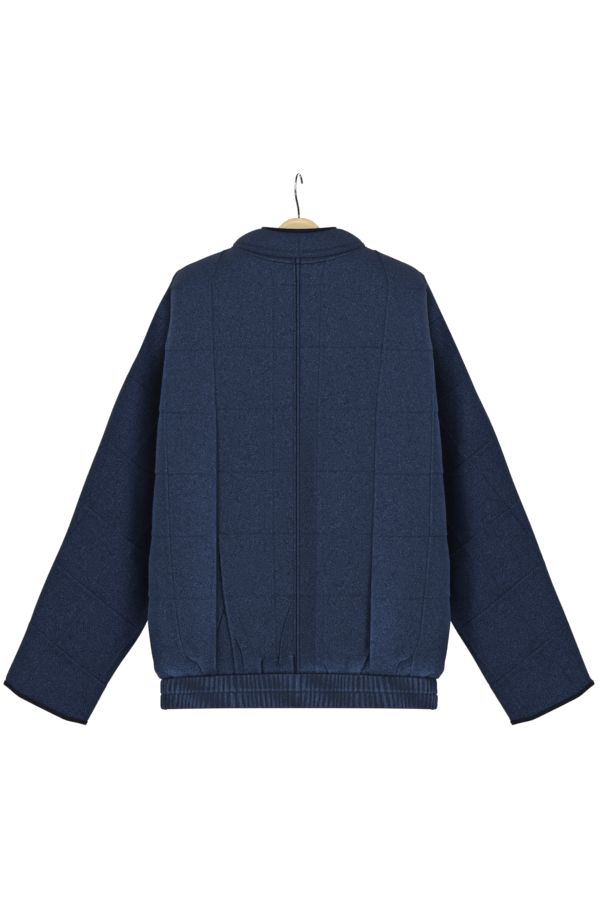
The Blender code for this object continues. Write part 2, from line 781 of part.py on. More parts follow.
def make_collar_binding(collar, dark):
    """A narrow bound edge along the top of the collar, tallest at the centre back and front."""
    edge = np.vstack([mirrored(collar[-1, 1:])[::-1], collar[-1]])
    middle = len(edge) // 2
    edge[middle, 0] = 0.0
    edge_normals = plan_normals(edge)
    cos = np.abs(edge[:, 1]) / np.abs(edge[:, 1]).max()
    height = COLLAR_BINDING_SIDE + (COLLAR_BINDING_BACK - COLLAR_BINDING_SIDE) * cos * cos
    up = np.array((0.0, 0.0, 1.0))
    steps = ((0.0, 0.0), (0.5, BINDING_PROUD), (1.0, 0.0))
    outer = []
    inner = []
    for share, proud in steps:
        lift = up * (SEAM_GAP + share * height)[:, None]
        outer.append(edge + lift + edge_normals * proud)
        inner.append(edge + lift - edge_normals * (CLOTH + proud))
    wall("collar_binding", np.array(outer), np.array(inner), dark)


def band_line(count):
    """The hem seam round the jacket from one front edge to the other, with its rise."""
    points = []
    for face in (1, -1):
        curve, _ = section_curve(HEM_LEVEL, face)
        start = FRONT_OPENING if face < 0 else 0.0
        length = arc_lengths(curve)[-1]
        arcs = np.linspace(start, length, HEM_SAMPLES)
        rise = HEM_RISE * (1.0 - (arcs / length) ** 2)
        points.append(np.column_stack([along_curve(curve, arcs), rise]))
    half = np.vstack([points[0], points[1][::-1][1:]])
    whole = np.vstack([mirrored(half[1:])[::-1], half])
    return along_curve(whole, np.linspace(0.0, arc_lengths(whole)[-1], count))


def make_hem_band(cloth):
    """The elastic band, gathered into upright ribs either side of a stitched line."""
    count = 2 * BAND_GATHERS + 1
    line = band_line(count)
    normals = plan_normals(line)
    rib = np.arange(count) % 2
    outer = []
    inner = []
    for share, fullness in BAND_STEPS:
        top = HEM_LEVEL + line[:, 2] - HEM_GAP
        level = top + (BAND_BOTTOM - top) * share
        base = np.column_stack([line[:, :2], level])
        outer.append(base + normals * (GATHER_DEPTH * fullness * rib)[:, None])
        inner.append(base - normals * CLOTH)
    wall("hem_band", np.array(outer), np.array(inner)[[0, -1]], cloth)
    return np.array(outer)[:, -1]


def front_edge(panels, collar, collar_normals, band_edge):
    """The front opening from collar to hem: edge points, points a column in, and their normals."""
    front = panels[-1]
    edge = np.vstack([collar[::-1, -1], front["grid"][1:-1, 0], band_edge[[0, -1]]])
    beside = np.vstack([collar[::-1, -2], front["grid"][1:-1, 1], band_edge[[0, -1]]])
    beside[-2:, 0] = beside[-3, 0]
    normals = np.vstack([collar_normals[::-1, -1], front["normals"][1:-1, 0], [(0.0, -1.0, 0.0)] * 2])
    beside_normals = np.vstack([collar_normals[::-1, -2], front["normals"][1:-1, 1], [(0.0, -1.0, 0.0)] * 2])
    folds = FRONT_FOLD_SHARE * body_folds(front["grid"], front["arcs"])
    shift = np.zeros((len(edge), 2))
    shift[len(collar):-2] = folds[1:-1, :2]
    edge = edge + normals * shift[:, :1]
    beside = beside + beside_normals * shift[:, 1:]
    return edge, beside, normals, beside_normals


def make_zip_tapes(opening, tape):
    """Each tape lies inside its front edge, with the chain's edge standing in the opening."""
    edge, beside, normals, beside_normals = opening
    behind = CLOTH + TAPE_CLEAR
    middle = np.array((0.0, 1.0, 1.0))
    chain = np.array((CHAIN_HALF, 0.0, 0.0))
    seam = np.array((SEAM_GAP / 2, 0.0, 0.0))
    ridge = edge * middle - normals * CHAIN_SINK
    front = edge * middle - normals * behind
    back = edge * middle - normals * (behind + TAPE_THICK)
    far_front = beside - beside_normals * behind
    far_back = beside - beside_normals * (behind + TAPE_THICK)
    rails = (ridge + seam, ridge + chain, front + chain, far_front, far_back, back + seam)
    sections = np.stack(rails, axis=1)
    sections[-1, :, 2] += CHAIN_HALF
    swept("zip_tape_left", sections, tape)
    swept("zip_tape_right", mirrored(sections), tape)


def slider_frame(opening):
    """Where the slider sits: its place on the chain, the way down the zip and the way out."""
    edge = opening[0] * np.array((0.0, 1.0, 1.0))
    collar_length = arc_lengths(edge)[len(COLLAR_STEPS) - 1]
    at = (1.0 - SLIDER_AT) * collar_length
    start, end = along_curve(edge, np.array([at, at + SLIDER_LENGTH]))
    down = unit(end - start)
    return start, down, np.array((0.0, down[2], -down[1]))


def oriented_box(low, high, place, down, out):
    """Corner points of a box given in across, down and out distances."""
    across = np.array((1.0, 0.0, 0.0))
    corners = [(low[0], low[1]), (high[0], low[1]), (high[0], high[1]), (low[0], high[1])]
    levels = (low[2], high[2])
    return np.array([[place + across * x + down * d + out * o for x, d in corners] for o in levels])


def cut_or_join(target, tool, operation):
    """Apply one Boolean to an object and remove the tool."""
    modifier = target.modifiers.new(operation.lower(), "BOOLEAN")
    modifier.operation = operation
    modifier.solver = "EXACT"
    modifier.object = tool
    graph = bpy.context.evaluated_depsgraph_get()
    mesh = bpy.data.meshes.new_from_object(target.evaluated_get(graph))
    target.modifiers.clear()
    target.data = mesh
    bpy.data.objects.remove(tool)


def round_bar(place, radius, half_length, down, out, sides=12):
    """Sections of a round bar lying across the zip."""
    across = np.array((1.0, 0.0, 0.0))
    angles = np.arange(sides) * 2 * math.pi / sides
    ring = np.cos(angles)[:, None] * down + np.sin(angles)[:, None] * out
    return np.array([place + across * x + radius * ring for x in (-half_length, half_length)])


def make_slider_and_pull(opening, metal):
    """The slider with two ears and a pin, and the pull tab that swings on the pin."""
    place, down, out = slider_frame(opening)
    base = SEAM_GAP - CHAIN_SINK
    half = SLIDER_WIDTH / 2
    plate = swept("zip_slider", oriented_box((-half, 0.0, base), (half, SLIDER_LENGTH, base + SLIDER_THICK),
                                             place, down, out), metal)
    ear_top = base + SLIDER_THICK + EAR_HEIGHT
    pin_at = place + down * PIN_DOWN + out * (ear_top - PIN_DROP)
    inside = EAR_GAP / 2
    for side in (-1, 1):
        edges = sorted((side * inside, side * (inside + EAR_THICK)))
        ear = swept("ear", oriented_box((edges[0], EAR_START, base + 0.5 * SLIDER_THICK),
                                        (edges[1], EAR_END, ear_top), place, down, out), metal)
        cut_or_join(plate, ear, "UNION")
    pin = swept("pin", round_bar(pin_at, PIN_RADIUS, inside + 0.5 * EAR_THICK, down, out), metal)
    cut_or_join(plate, pin, "UNION")

    outline = PULL_OUTLINE + tuple((-half_width, below) for half_width, below in reversed(PULL_OUTLINE))
    across = np.array((1.0, 0.0, 0.0))
    sheets = [[across * x + down * d + out * o for x, d in outline]
              for o in (-PULL_THICK / 2, PULL_THICK / 2)]
    pull = swept("zip_pull", np.array(sheets), metal)
    boss = swept("eye_boss", round_bar(np.zeros(3), PULL_BOSS, PULL_BOSS_HALF, down, out, 16), metal)
    cut_or_join(pull, boss, "UNION")
    eye = swept("eye", round_bar(np.zeros(3), PULL_EYE, PULL_BOSS, down, out, 12), metal)
    cut_or_join(pull, eye, "DIFFERENCE")
    pull.location = pin_at


def make_hanger(wood):
    """The wooden hanger, rounded all along its edges."""
    half = np.asarray(HANGER_SECTIONS)
    table = np.vstack([(half * np.array((-1.0, 1.0, 1.0, 1.0)))[:0:-1], half])
    angles = (np.arange(HANGER_SIDES) + 0.5) * 2 * math.pi / HANGER_SIDES
    sections = []
    for x, top, height, depth in table:
        ring_y = np.sign(np.cos(angles)) * np.abs(np.cos(angles)) ** HANGER_ROUND * depth
        ring_z = np.sign(np.sin(angles)) * np.abs(np.sin(angles)) ** HANGER_ROUND * height / 2
        crown = np.abs(np.sin(angles[1])) ** HANGER_ROUND * height / 2
        sections.append(np.column_stack([np.full(HANGER_SIDES, x), ring_y, top - crown + ring_z]))
    swept("hanger_wood", np.array(sections), wood)


def make_hook(steel):
    """The hook wire from the wood up and over the rail."""
    centre = HOOK_WIRE - HOOK_RADIUS
    stem = ((0.0, HANGER_SECTIONS[0][1] + SEAM_GAP),) + HOOK_STEM
    angles = np.linspace(*HOOK_ARC, HOOK_ARC_STEPS)
    arc = [(HOOK_RADIUS * math.cos(angle), centre + HOOK_RADIUS * math.sin(angle)) for angle in angles]
    path = smooth_curve(stem + tuple(arc), HOOK_SECTIONS)
    turn = np.array((math.cos(HOOK_TURN), math.sin(HOOK_TURN), 0.0))
    side = np.array((-math.sin(HOOK_TURN), math.cos(HOOK_TURN), 0.0))
    line = path[:, :1] * turn + path[:, 1:] * np.array((0.0, 0.0, 1.0))
    run = unit(np.gradient(line, axis=0))
    run[0] = (0.0, 0.0, 1.0)
    across = np.cross(run, side)
    ring = np.arange(HOOK_SIDES) * 2 * math.pi / HOOK_SIDES
    sections = (line[:, None] + HOOK_WIRE * (np.cos(ring)[:, None] * side
                                             + np.sin(ring)[:, None] * across[:, None]))
    swept("hanger_hook", sections, steel)


def main():
    """Build the jacket and its hanger."""
    for existing in list(bpy.data.objects):
        bpy.data.objects.remove(existing)
    cloth = make_material("quilted_cloth", NAVY, 0.9)
    dark = make_material("edge_binding", NAVY_DARK, 0.85)
    tape = make_material("zip_tape", NAVY_DARK, 0.8)
    metal = make_material("zip_metal", ZIP_METAL, 0.4, 1.0)
    wood = make_material("hanger_wood", WOOD, 0.5)
    steel = make_material("hook_steel", STEEL, 0.25, 1.0)
    panels, collar, collar_normals = make_body_and_sleeves(cloth, dark)
    band_edge = make_hem_band(cloth)
    opening = front_edge(panels, collar, collar_normals, band_edge)
    make_zip_tapes(opening, tape)
    make_slider_and_pull(opening, metal)
    make_hanger(wood)
    make_hook(steel)


main()
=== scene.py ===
# %% [markdown]
# # A quilted zip jacket on a wooden hanger
#
# The jacket hangs with its back to us. It is cut from a soft heathered navy jersey that was quilted in
# large squares, then sewn into two backs, two fronts, two sleeves, a stand collar and a gathered elastic
# hem band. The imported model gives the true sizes. Each cell below dresses one piece of it, so the shapes
# here repeat the same pattern sizes on a much finer mesh and add the stitching, creases, zip teeth and
# finishes.

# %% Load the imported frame
import math

import bpy
import numpy as np
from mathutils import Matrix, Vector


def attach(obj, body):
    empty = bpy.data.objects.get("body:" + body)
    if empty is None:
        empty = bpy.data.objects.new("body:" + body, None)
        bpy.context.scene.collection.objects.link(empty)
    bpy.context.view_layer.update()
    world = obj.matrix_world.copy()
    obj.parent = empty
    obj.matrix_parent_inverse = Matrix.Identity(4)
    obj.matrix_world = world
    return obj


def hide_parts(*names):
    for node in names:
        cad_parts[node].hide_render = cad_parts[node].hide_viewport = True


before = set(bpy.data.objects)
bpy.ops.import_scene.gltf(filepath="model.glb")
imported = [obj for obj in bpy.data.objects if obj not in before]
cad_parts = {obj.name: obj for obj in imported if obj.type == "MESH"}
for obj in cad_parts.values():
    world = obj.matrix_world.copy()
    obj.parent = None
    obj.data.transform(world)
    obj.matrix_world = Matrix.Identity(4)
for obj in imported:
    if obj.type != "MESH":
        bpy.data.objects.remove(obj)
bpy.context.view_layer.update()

# %% [markdown]
# ## Camera and light
#
# The photograph was taken straight on with a long lens, against pure white. A camera six metres away
# keeps the edges of the sleeves and body in the same proportion as a long lens does. A soft box at each
# side and weaker ones above and below the camera give even studio light. The side boxes draw a soft
# shadow along every upright fold, and the low one lifts the undersides. A plain pale floor lies well
# below the jacket, out of the photograph's frame. The world is white.

# %% Camera
PIXEL = 0.00142
RAIL_PIXEL = (299.0, 175.5)
MIDDLE_PIXEL = (300.0, 450.0)
IMAGE_HEIGHT = 900
CAMERA_AWAY = 6.0
SENSOR = 36.0


def picture_point(across, down):
    """The x and z of a photograph pixel in the plane of the hanger."""
    return (RAIL_PIXEL[0] - across) * PIXEL, (RAIL_PIXEL[1] - down) * PIXEL


camera_x, camera_z = picture_point(*MIDDLE_PIXEL)
camera = bpy.data.objects.new("camera", bpy.data.cameras.new("camera"))
bpy.context.scene.collection.objects.link(camera)
camera.location = (camera_x, CAMERA_AWAY, camera_z)
camera.rotation_euler = (math.radians(90.0), 0.0, math.radians(180.0))
camera.data.sensor_width = SENSOR
camera.data.lens = SENSOR * CAMERA_AWAY / (IMAGE_HEIGHT * PIXEL)
camera.data.clip_end = 60.0
bpy.context.scene.camera = camera
print("camera lens:", round(camera.data.lens, 1), "mm")

# %% Lamps and world
LAMPS = (
    # name, place, width and height, watts
    ("left_box", (2.2, 2.5, 0.7), (1.0, 1.7), 64.0),
    ("right_box", (-2.2, 2.5, 0.7), (1.0, 1.7), 64.0),
    ("top_box", (0.0, 2.6, 2.2), (1.4, 1.0), 36.0),
    ("low_box", (0.0, 2.4, -2.0), (2.2, 0.8), 26.0),
    ("front_low_box", (0.0, -2.4, -2.0), (2.2, 0.8), 26.0),
    ("front_left_box", (2.2, -2.6, 0.9), (1.4, 2.0), 60.0),
    ("front_right_box", (-2.2, -2.6, 0.9), (1.4, 2.0), 48.0),
)
AIM = (0.0, 0.0, -0.40)


def aim_at(thing, target):
    """Turn a lamp so that it shines at a point."""
    direction = Vector(target) - thing.location
    thing.rotation_euler = direction.to_track_quat("-Z", "Y").to_euler()


for name, place, (wide, tall), watts in LAMPS:
    lamp = bpy.data.objects.new(name, bpy.data.lights.new(name, "AREA"))
    bpy.context.scene.collection.objects.link(lamp)
    lamp.location = place
    lamp.data.shape = "RECTANGLE"
    lamp.data.size = wide
    lamp.data.size_y = tall
    lamp.data.energy = watts
    aim_at(lamp, AIM)

world = bpy.data.worlds.new("white_studio")
world.use_nodes = True
bpy.context.scene.world = world
sky = world.node_tree.nodes["Background"]
sky.inputs["Color"].default_value = (1.0, 1.0, 1.0, 1.0)
ray = world.node_tree.nodes.new("ShaderNodeLightPath")
strength = world.node_tree.nodes.new("ShaderNodeMapRange")
strength.inputs["To Min"].default_value = 0.07
strength.inputs["To Max"].default_value = 1.05
world.node_tree.links.new(ray.outputs["Is Camera Ray"], strength.inputs["Value"])
world.node_tree.links.new(strength.outputs["Result"], sky.inputs["Strength"])
bpy.context.scene.view_settings.view_transform = "Standard"

print("lamps:", len(LAMPS))

# %% Floor
FLOOR_LEVEL = -2.40
FLOOR_HALF = 1.5
FLOOR_PALE = (0.80, 0.80, 0.79, 1.0)
FLOOR_ROUGHNESS = 0.9
FLOOR_CORNERS = ((-1, -1), (1, -1), (1, 1), (-1, 1))

floor_mesh = bpy.data.meshes.new("floor")
floor_points = [(x * FLOOR_HALF, y * FLOOR_HALF, FLOOR_LEVEL) for x, y in FLOOR_CORNERS]
floor_mesh.from_pydata(floor_points, [], [(0, 1, 2, 3)])
floor = bpy.data.objects.new("floor", floor_mesh)
bpy.context.scene.collection.objects.link(floor)
floor_paint = bpy.data.materials.new("pale_floor")
floor_paint.use_nodes = True
floor_shader = floor_paint.node_tree.nodes["Principled BSDF"]
floor_shader.inputs["Base Color"].default_value = FLOOR_PALE
floor_shader.inputs["Roughness"].default_value = FLOOR_ROUGHNESS
floor_mesh.materials.append(floor_paint)
print("floor level:", FLOOR_LEVEL)

# %% [markdown]
# ## Finishes
#
# Up close the cloth is a brushed jersey: yarn of several navy shades twisted together, so it looks
# grainy. The same grain shows on the hem band and, darker, on the bindings. Anything that several
# finishes share is a node group with named inputs: the heather of the yarn, the rows of knitted loops,
# and the lines where stitching or a fold presses the cloth down. One side of such a line gets painted
# shade, and the edge that lies over it a painted highlight. The same group paints shade into clefts and
# hems and light onto rolled edges, from a share kept at each point of a mesh.

# %% Node helpers
FLOAT = "NodeSocketFloat"
COLOUR = "NodeSocketColor"
VECTOR = "NodeSocketVector"


def add_node(tree, kind, **values):
    """A node of a tree with some of its inputs set by name."""
    node = tree.nodes.new(kind)
    for key, value in values.items():
        node.inputs[key.replace("_", " ")].default_value = value
    return node


def new_group(name, inputs, outputs):
    """An empty shader node group with its named sockets."""
    group = bpy.data.node_groups.new(name, "ShaderNodeTree")
    for socket, kind, value in inputs:
        made = group.interface.new_socket(socket, in_out="INPUT", socket_type=kind)
        if value is not None:
            made.default_value = value
    for socket, kind in outputs:
        group.interface.new_socket(socket, in_out="OUTPUT", socket_type=kind)
    return group, group.nodes.new("NodeGroupInput"), group.nodes.new("NodeGroupOutput")


def math_node(tree, operation, first, second):
    """A maths node on two sockets or numbers, and its output."""
    node = tree.nodes.new("ShaderNodeMath")
    node.operation = operation
    for index, value in enumerate((first, second)):
        if isinstance(value, (int, float)):
            node.inputs[index].default_value = value
        else:
            tree.links.new(value, node.inputs[index])
    return node.outputs[0]


def times(tree, first, second):
    """The product of two sockets or numbers."""
    return math_node(tree, "MULTIPLY", first, second)


def plus(tree, first, second):
    """The sum of two sockets or numbers."""
    return math_node(tree, "ADD", first, second)


def minus(tree, first, second):
    """The first socket or number less the second."""
    return math_node(tree, "SUBTRACT", first, second)


def tinted(tree, colour, factor):
    """A colour made brighter or darker by a factor."""
    node = tree.nodes.new("ShaderNodeVectorMath")
    node.operation = "SCALE"
    tree.links.new(colour, node.inputs[0])
    tree.links.new(factor, node.inputs["Scale"])
    return node.outputs[0]


# %% Heathered yarn group
def make_heather():
    """Colour grain of mixed yarn, and the height of its nap."""
    group, given, result = new_group(
        "heathered_yarn",
        (("Vector", VECTOR, None), ("Base Color", COLOUR, (0.02, 0.03, 0.07, 1.0)),
         ("Fleck", FLOAT, 0.3), ("Grain", FLOAT, 600.0), ("Patch", FLOAT, 0.06)),
        (("Color", COLOUR), ("Height", FLOAT)))
    fine = add_node(group, "ShaderNodeTexNoise", Detail=3.0, Roughness=0.65)
    group.links.new(given.outputs["Vector"], fine.inputs["Vector"])
    group.links.new(given.outputs["Grain"], fine.inputs["Scale"])
    wide = add_node(group, "ShaderNodeTexNoise", Scale=9.0, Detail=3.0)
    group.links.new(given.outputs["Vector"], wide.inputs["Vector"])
    grain = times(group, minus(group, fine.outputs["Fac"], 0.5), given.outputs["Fleck"])
    patch = times(group, minus(group, wide.outputs["Fac"], 0.5), given.outputs["Patch"])
    total = math_node(group, "POWER", 4.0, plus(group, grain, patch))
    group.links.new(tinted(group, given.outputs["Base Color"], total), result.inputs["Color"])
    group.links.new(fine.outputs["Fac"], result.inputs["Height"])
    return group


HEATHER = make_heather()
print("group", HEATHER.name, "sockets:", len(HEATHER.interface.items_tree))

# %% Knitted loops group
def make_loops():
    """Height of rows and columns of knitted loops, from cloth coordinates in metres."""
    group, given, result = new_group(
        "knitted_loops",
        (("Vector", VECTOR, None), ("Pitch", FLOAT, 0.0016)),
        (("Height", FLOAT),))
    rate = math_node(group, "DIVIDE", 2.0 * math.pi / 20.0, given.outputs["Pitch"])
    heights = []
    for direction in ("X", "Y"):
        wave = add_node(group, "ShaderNodeTexWave", Distortion=1.5, Detail=1.0)
        wave.bands_direction = direction
        group.links.new(given.outputs["Vector"], wave.inputs["Vector"])
        group.links.new(rate, wave.inputs["Scale"])
        heights.append(wave.outputs["Fac"])
    group.links.new(times(group, *heights), result.inputs["Height"])
    return group


LOOPS = make_loops()
print("group", LOOPS.name)

# %% Painted shade and light group
MOST_PAINTED_SHADE = 0.85


def make_painted_light_and_shade():
    """Paints shade into cloth along pressed lines and other shaded places, and paints light where the share
    pressed is below zero.
    """
    group, given, result = new_group(
        "painted_shade_and_light",
        (("Color", COLOUR, (0.5, 0.5, 0.5, 1.0)), ("Darken", FLOAT, 0.3),
         ("Line", FLOAT, 0.0)),
        (("Color", COLOUR),))
    pressed = group.nodes.new("ShaderNodeAttribute")
    pressed.attribute_name = "pressed"
    share = plus(group, pressed.outputs["Fac"], given.outputs["Line"])
    most = math_node(group, "MINIMUM", share, MOST_PAINTED_SHADE)
    loss = times(group, most, given.outputs["Darken"])
    keep = minus(group, 1.0, loss)
    group.links.new(tinted(group, given.outputs["Color"], keep), result.inputs["Color"])
    return group


PAINTED_LIGHT_AND_SHADE = make_painted_light_and_shade()
print("group", PAINTED_LIGHT_AND_SHADE.name)

# %% Quilted lines group
QUILT_PITCH = 0.0871
LAP_INPUTS = ("Width", "Lap", "Light")
DARK_OFFSET = 0.3
RISE_ENDS = (-0.4, 0.4)
LIT_ENDS = (0.1, 0.7, 2.6)


def ranged(tree, value, low, high, start, end):
    """A value eased from one range to another."""
    node = add_node(tree, "ShaderNodeMapRange", From_Min=low, From_Max=high, To_Min=start, To_Max=end)
    node.interpolation_type = "SMOOTHSTEP"
    tree.links.new(value, node.inputs["Value"])
    return node.outputs["Result"]


def lap_values(tree, distance, width, reach, light):
    """Painted shade and bump height beside a line where one edge of cloth lies over another, with a painted
    highlight on that edge.
    """
    wide = math_node(tree, "DIVIDE", distance, width)
    from_line = math_node(tree, "ABSOLUTE", plus(tree, wide, DARK_OFFSET), 0.0)
    above = ranged(tree, wide, *RISE_ENDS, 0.0, 1.0)
    fall = ranged(tree, math_node(tree, "DIVIDE", distance, reach), 0.0, 1.0, 1.0, 0.0)
    brighter = ranged(tree, wide, *LIT_ENDS[:2], 0.0, 1.0)
    dimmer = ranged(tree, wide, *LIT_ENDS[1:], 1.0, 0.0)
    lit = times(tree, brighter, dimmer)
    dark = ranged(tree, from_line, 0.0, 1.0, 1.0, 0.0)
    shade = minus(tree, dark, times(tree, lit, light))
    return shade, times(tree, above, fall)


def make_quilt_lines():
    """Painted shade and highlight, and bump height, of stitched laps, at whole numbers of the quilt
    coordinates.
    """
    group, given, result = new_group(
        "quilted_lines",
        (("Vector", VECTOR, None), ("Width", FLOAT, 0.0015), ("Lap", FLOAT, 0.010),
         ("Main", FLOAT, 2.0), ("Others", FLOAT, 1.0), ("Cross", FLOAT, 1.0),
         ("Light", FLOAT, 0.60)),
        (("Shade", FLOAT), ("Height", FLOAT)))
    split = group.nodes.new("ShaderNodeSeparateXYZ")
    uneven = add_node(group, "ShaderNodeTexNoise", Scale=1.9, Detail=2.0)
    group.links.new(given.outputs["Vector"], split.inputs[0])
    group.links.new(given.outputs["Vector"], uneven.inputs["Vector"])
    patchy = ranged(group, uneven.outputs["Fac"], 0.38, 0.60, 0.45, 1.0)
    inside = ranged(group, minus(group, given.outputs["Main"], split.outputs["X"]), 0.0, 0.5, 0.0, 1.0)
    lost = times(group, inside, minus(group, 1.0, given.outputs["Others"]))
    kept = minus(group, 1.0, lost)
    crossing = times(group, times(group, patchy, given.outputs["Cross"]), kept)
    shades = []
    heights = []
    for axis, weight in (("X", kept), ("Y", crossing)):
        part = math_node(group, "FRACT", plus(group, split.outputs[axis], 0.5), 0.0)
        distance = times(group, minus(group, part, 0.5), QUILT_PITCH)
        shade, height = lap_values(group, distance, *(given.outputs[key] for key in LAP_INPUTS))
        shades.append(times(group, shade, weight))
        heights.append(times(group, height, weight))
    group.links.new(plus(group, *shades), result.inputs["Shade"])
    group.links.new(plus(group, *heights), result.inputs["Height"])
    return group


def make_folded_edges():
    """Painted shade and highlight, and bump height, beside tucks and seams, from each point's distance to the
    nearest one.
    """
    group, given, result = new_group(
        "folded_edges",
        (("Width", FLOAT, 0.0018), ("Lap", FLOAT, 0.008), ("Light", FLOAT, 0.55)),
        (("Shade", FLOAT), ("Height", FLOAT)))
    fold = group.nodes.new("ShaderNodeAttribute")
    fold.attribute_name = "fold"
    shade, height = lap_values(group, fold.outputs["Fac"], *(given.outputs[key] for key in LAP_INPUTS))
    group.links.new(shade, result.inputs["Shade"])
    group.links.new(height, result.inputs["Height"])
    return group


FOLDED_EDGES = make_folded_edges()
QUILT_LINES = make_quilt_lines()
print("groups", QUILT_LINES.name, FOLDED_EDGES.name)

# %% Cloth finishes
NAVY = (0.0140, 0.0238, 0.0530, 1.0)
# the sleeves' navy is the body's navy darkened: painted shade, for sleeves that hang back from the light
NAVY_SLEEVE_SHADED = (0.0093, 0.0163, 0.0402, 1.0)
# the band's navy is lighter than the body's: painted light on its rib crests, which goes with the painted
# shade in its troughs
NAVY_BAND_LIT_CRESTS = (0.0400, 0.0660, 0.1400, 1.0)
NAVY_DARK = (0.0042, 0.0056, 0.0130, 1.0)
NAVY_BOUND = (0.0028, 0.0037, 0.0090, 1.0)
NAVY_THREAD = (0.0150, 0.0250, 0.0560, 1.0)
NAVY_SHEEN = (0.30, 0.38, 0.60, 1.0)
LAP_BUMP = 0.0018
FOLD_SHADE = 0.92


def place_group(tree, group, **values):
    """A node that uses a group, with some inputs set by name."""
    node = tree.nodes.new("ShaderNodeGroup")
    node.node_tree = group
    for key, value in values.items():
        node.inputs[key.replace("_", " ")].default_value = value
    return node


def plain_material(name, roughness, metallic=0.0):
    """A material with its shader, and its node tree."""
    material = bpy.data.materials.new(name)
    material.use_nodes = True
    shader = material.node_tree.nodes["Principled BSDF"]
    shader.inputs["Roughness"].default_value = roughness
    shader.inputs["Metallic"].default_value = metallic
    return material, material.node_tree, shader


def cloth_material(name, colour, fleck, grain, pitch, darken, sheen, bump, line=0.0, **weights):
    """Heathered, knitted cloth with painted shade and light along pressed lines, quilted if its lines have a
    shade.
    """
    material, tree, shader = plain_material(name, 0.92)
    shader.inputs["Specular IOR Level"].default_value = 0.18
    shader.inputs["Sheen Weight"].default_value = sheen
    shader.inputs["Sheen Roughness"].default_value = 0.45
    shader.inputs["Sheen Tint"].default_value = NAVY_SHEEN
    places = tree.nodes.new("ShaderNodeTexCoord")
    heather = place_group(tree, HEATHER, Base_Color=colour, Fleck=fleck, Grain=grain)
    loops = place_group(tree, LOOPS, Pitch=pitch)
    pressed = place_group(tree, PAINTED_LIGHT_AND_SHADE, Darken=darken)
    relief = add_node(tree, "ShaderNodeBump", Strength=bump, Distance=0.0006)
    tree.links.new(places.outputs["Object"], heather.inputs["Vector"])
    tree.links.new(places.outputs["UV"], loops.inputs["Vector"])
    tree.links.new(heather.outputs["Color"], pressed.inputs["Color"])
    tree.links.new(pressed.outputs["Color"], shader.inputs["Base Color"])
    height = plus(tree, heather.outputs["Height"], loops.outputs["Height"])
    tree.links.new(height, relief.inputs["Height"])
    tree.links.new(relief.outputs["Normal"], shader.inputs["Normal"])
    if line:
        where = tree.nodes.new("ShaderNodeUVMap")
        where.uv_map = "quilt"
        lines = place_group(tree, QUILT_LINES, **weights)
        lap = add_node(tree, "ShaderNodeBump", Strength=0.9, Distance=LAP_BUMP)
        tree.links.new(where.outputs["UV"], lines.inputs["Vector"])
        folds = place_group(tree, FOLDED_EDGES)
        # painted shade and highlight of the quilted lines and the folds, added to each point's painted shade
        quilt_shade = times(tree, lines.outputs["Shade"], line)
        fold_shade = times(tree, folds.outputs["Shade"], FOLD_SHADE)
        tree.links.new(plus(tree, quilt_shade, fold_shade), pressed.inputs["Line"])
        tree.links.new(plus(tree, lines.outputs["Height"], folds.outputs["Height"]), lap.inputs["Height"])
        tree.links.new(relief.outputs["Normal"], lap.inputs["Normal"])
        tree.links.new(lap.outputs["Normal"], shader.inputs["Normal"])
    return material


# name, colour, fleck, grain, pitch of the loops, darkening, sheen, bump, then the quilting lines
QUILTED = cloth_material("quilted_jersey", NAVY, 4.30, 760.0, 0.0017, 0.90, 0.0, 0.70,
                         line=0.62, Main=2.6, Others=0.45, Cross=0.45)
SLEEVE_CLOTH = cloth_material("quilted_jersey_sleeve_shaded", NAVY_SLEEVE_SHADED,
                              4.60, 760.0, 0.0017, 0.97, 0.0, 0.70,
                              line=0.66, Main=99.0, Others=0.42, Cross=2.0)
COLLAR_CLOTH = cloth_material("brushed_jersey", NAVY, 4.00, 760.0, 0.0017, 0.90, 0.0, 0.70)
BAND_CLOTH = cloth_material("gathered_jersey", NAVY_BAND_LIT_CRESTS, 3.00, 700.0, 0.0014, 0.90, 0.0, 0.55)
BINDING = cloth_material("stretch_binding", NAVY_BOUND, 0.60, 900.0, 0.0009, 0.20, 0.03, 0.35)
TAPE = cloth_material("woven_zip_tape", NAVY_DARK, 0.40, 1100.0, 0.0007, 0.0, 0.03, 0.40)
THREAD = cloth_material("sewing_thread", NAVY_THREAD, 0.30, 2200.0, 0.0004, 0.0, 0.05, 0.30)
CLOTH_FINISHES = (QUILTED, SLEEVE_CLOTH, COLLAR_CLOTH, BAND_CLOTH, BINDING, TAPE, THREAD)
print("cloth finishes:", [material.name for material in CLOTH_FINISHES])

# %% Metal and wood finishes
WOOD = (0.644, 0.501, 0.285)
WOOD_DARK = (0.590, 0.430, 0.220)


def metal_material(name, colour, roughness, scratch):
    """Metal whose polish varies a little from place to place."""
    material, tree, shader = plain_material(name, roughness, 1.0)
    places = tree.nodes.new("ShaderNodeTexCoord")
    heather = place_group(tree, HEATHER, Base_Color=colour, Fleck=0.10, Grain=900.0)
    tree.links.new(places.outputs["Object"], heather.inputs["Vector"])
    tree.links.new(heather.outputs["Color"], shader.inputs["Base Color"])
    spread = tree.nodes.new("ShaderNodeMapRange")
    spread.inputs["To Min"].default_value = roughness - scratch
    spread.inputs["To Max"].default_value = roughness + scratch
    tree.links.new(heather.outputs["Height"], spread.inputs["Value"])
    tree.links.new(spread.outputs["Result"], shader.inputs["Roughness"])
    return material


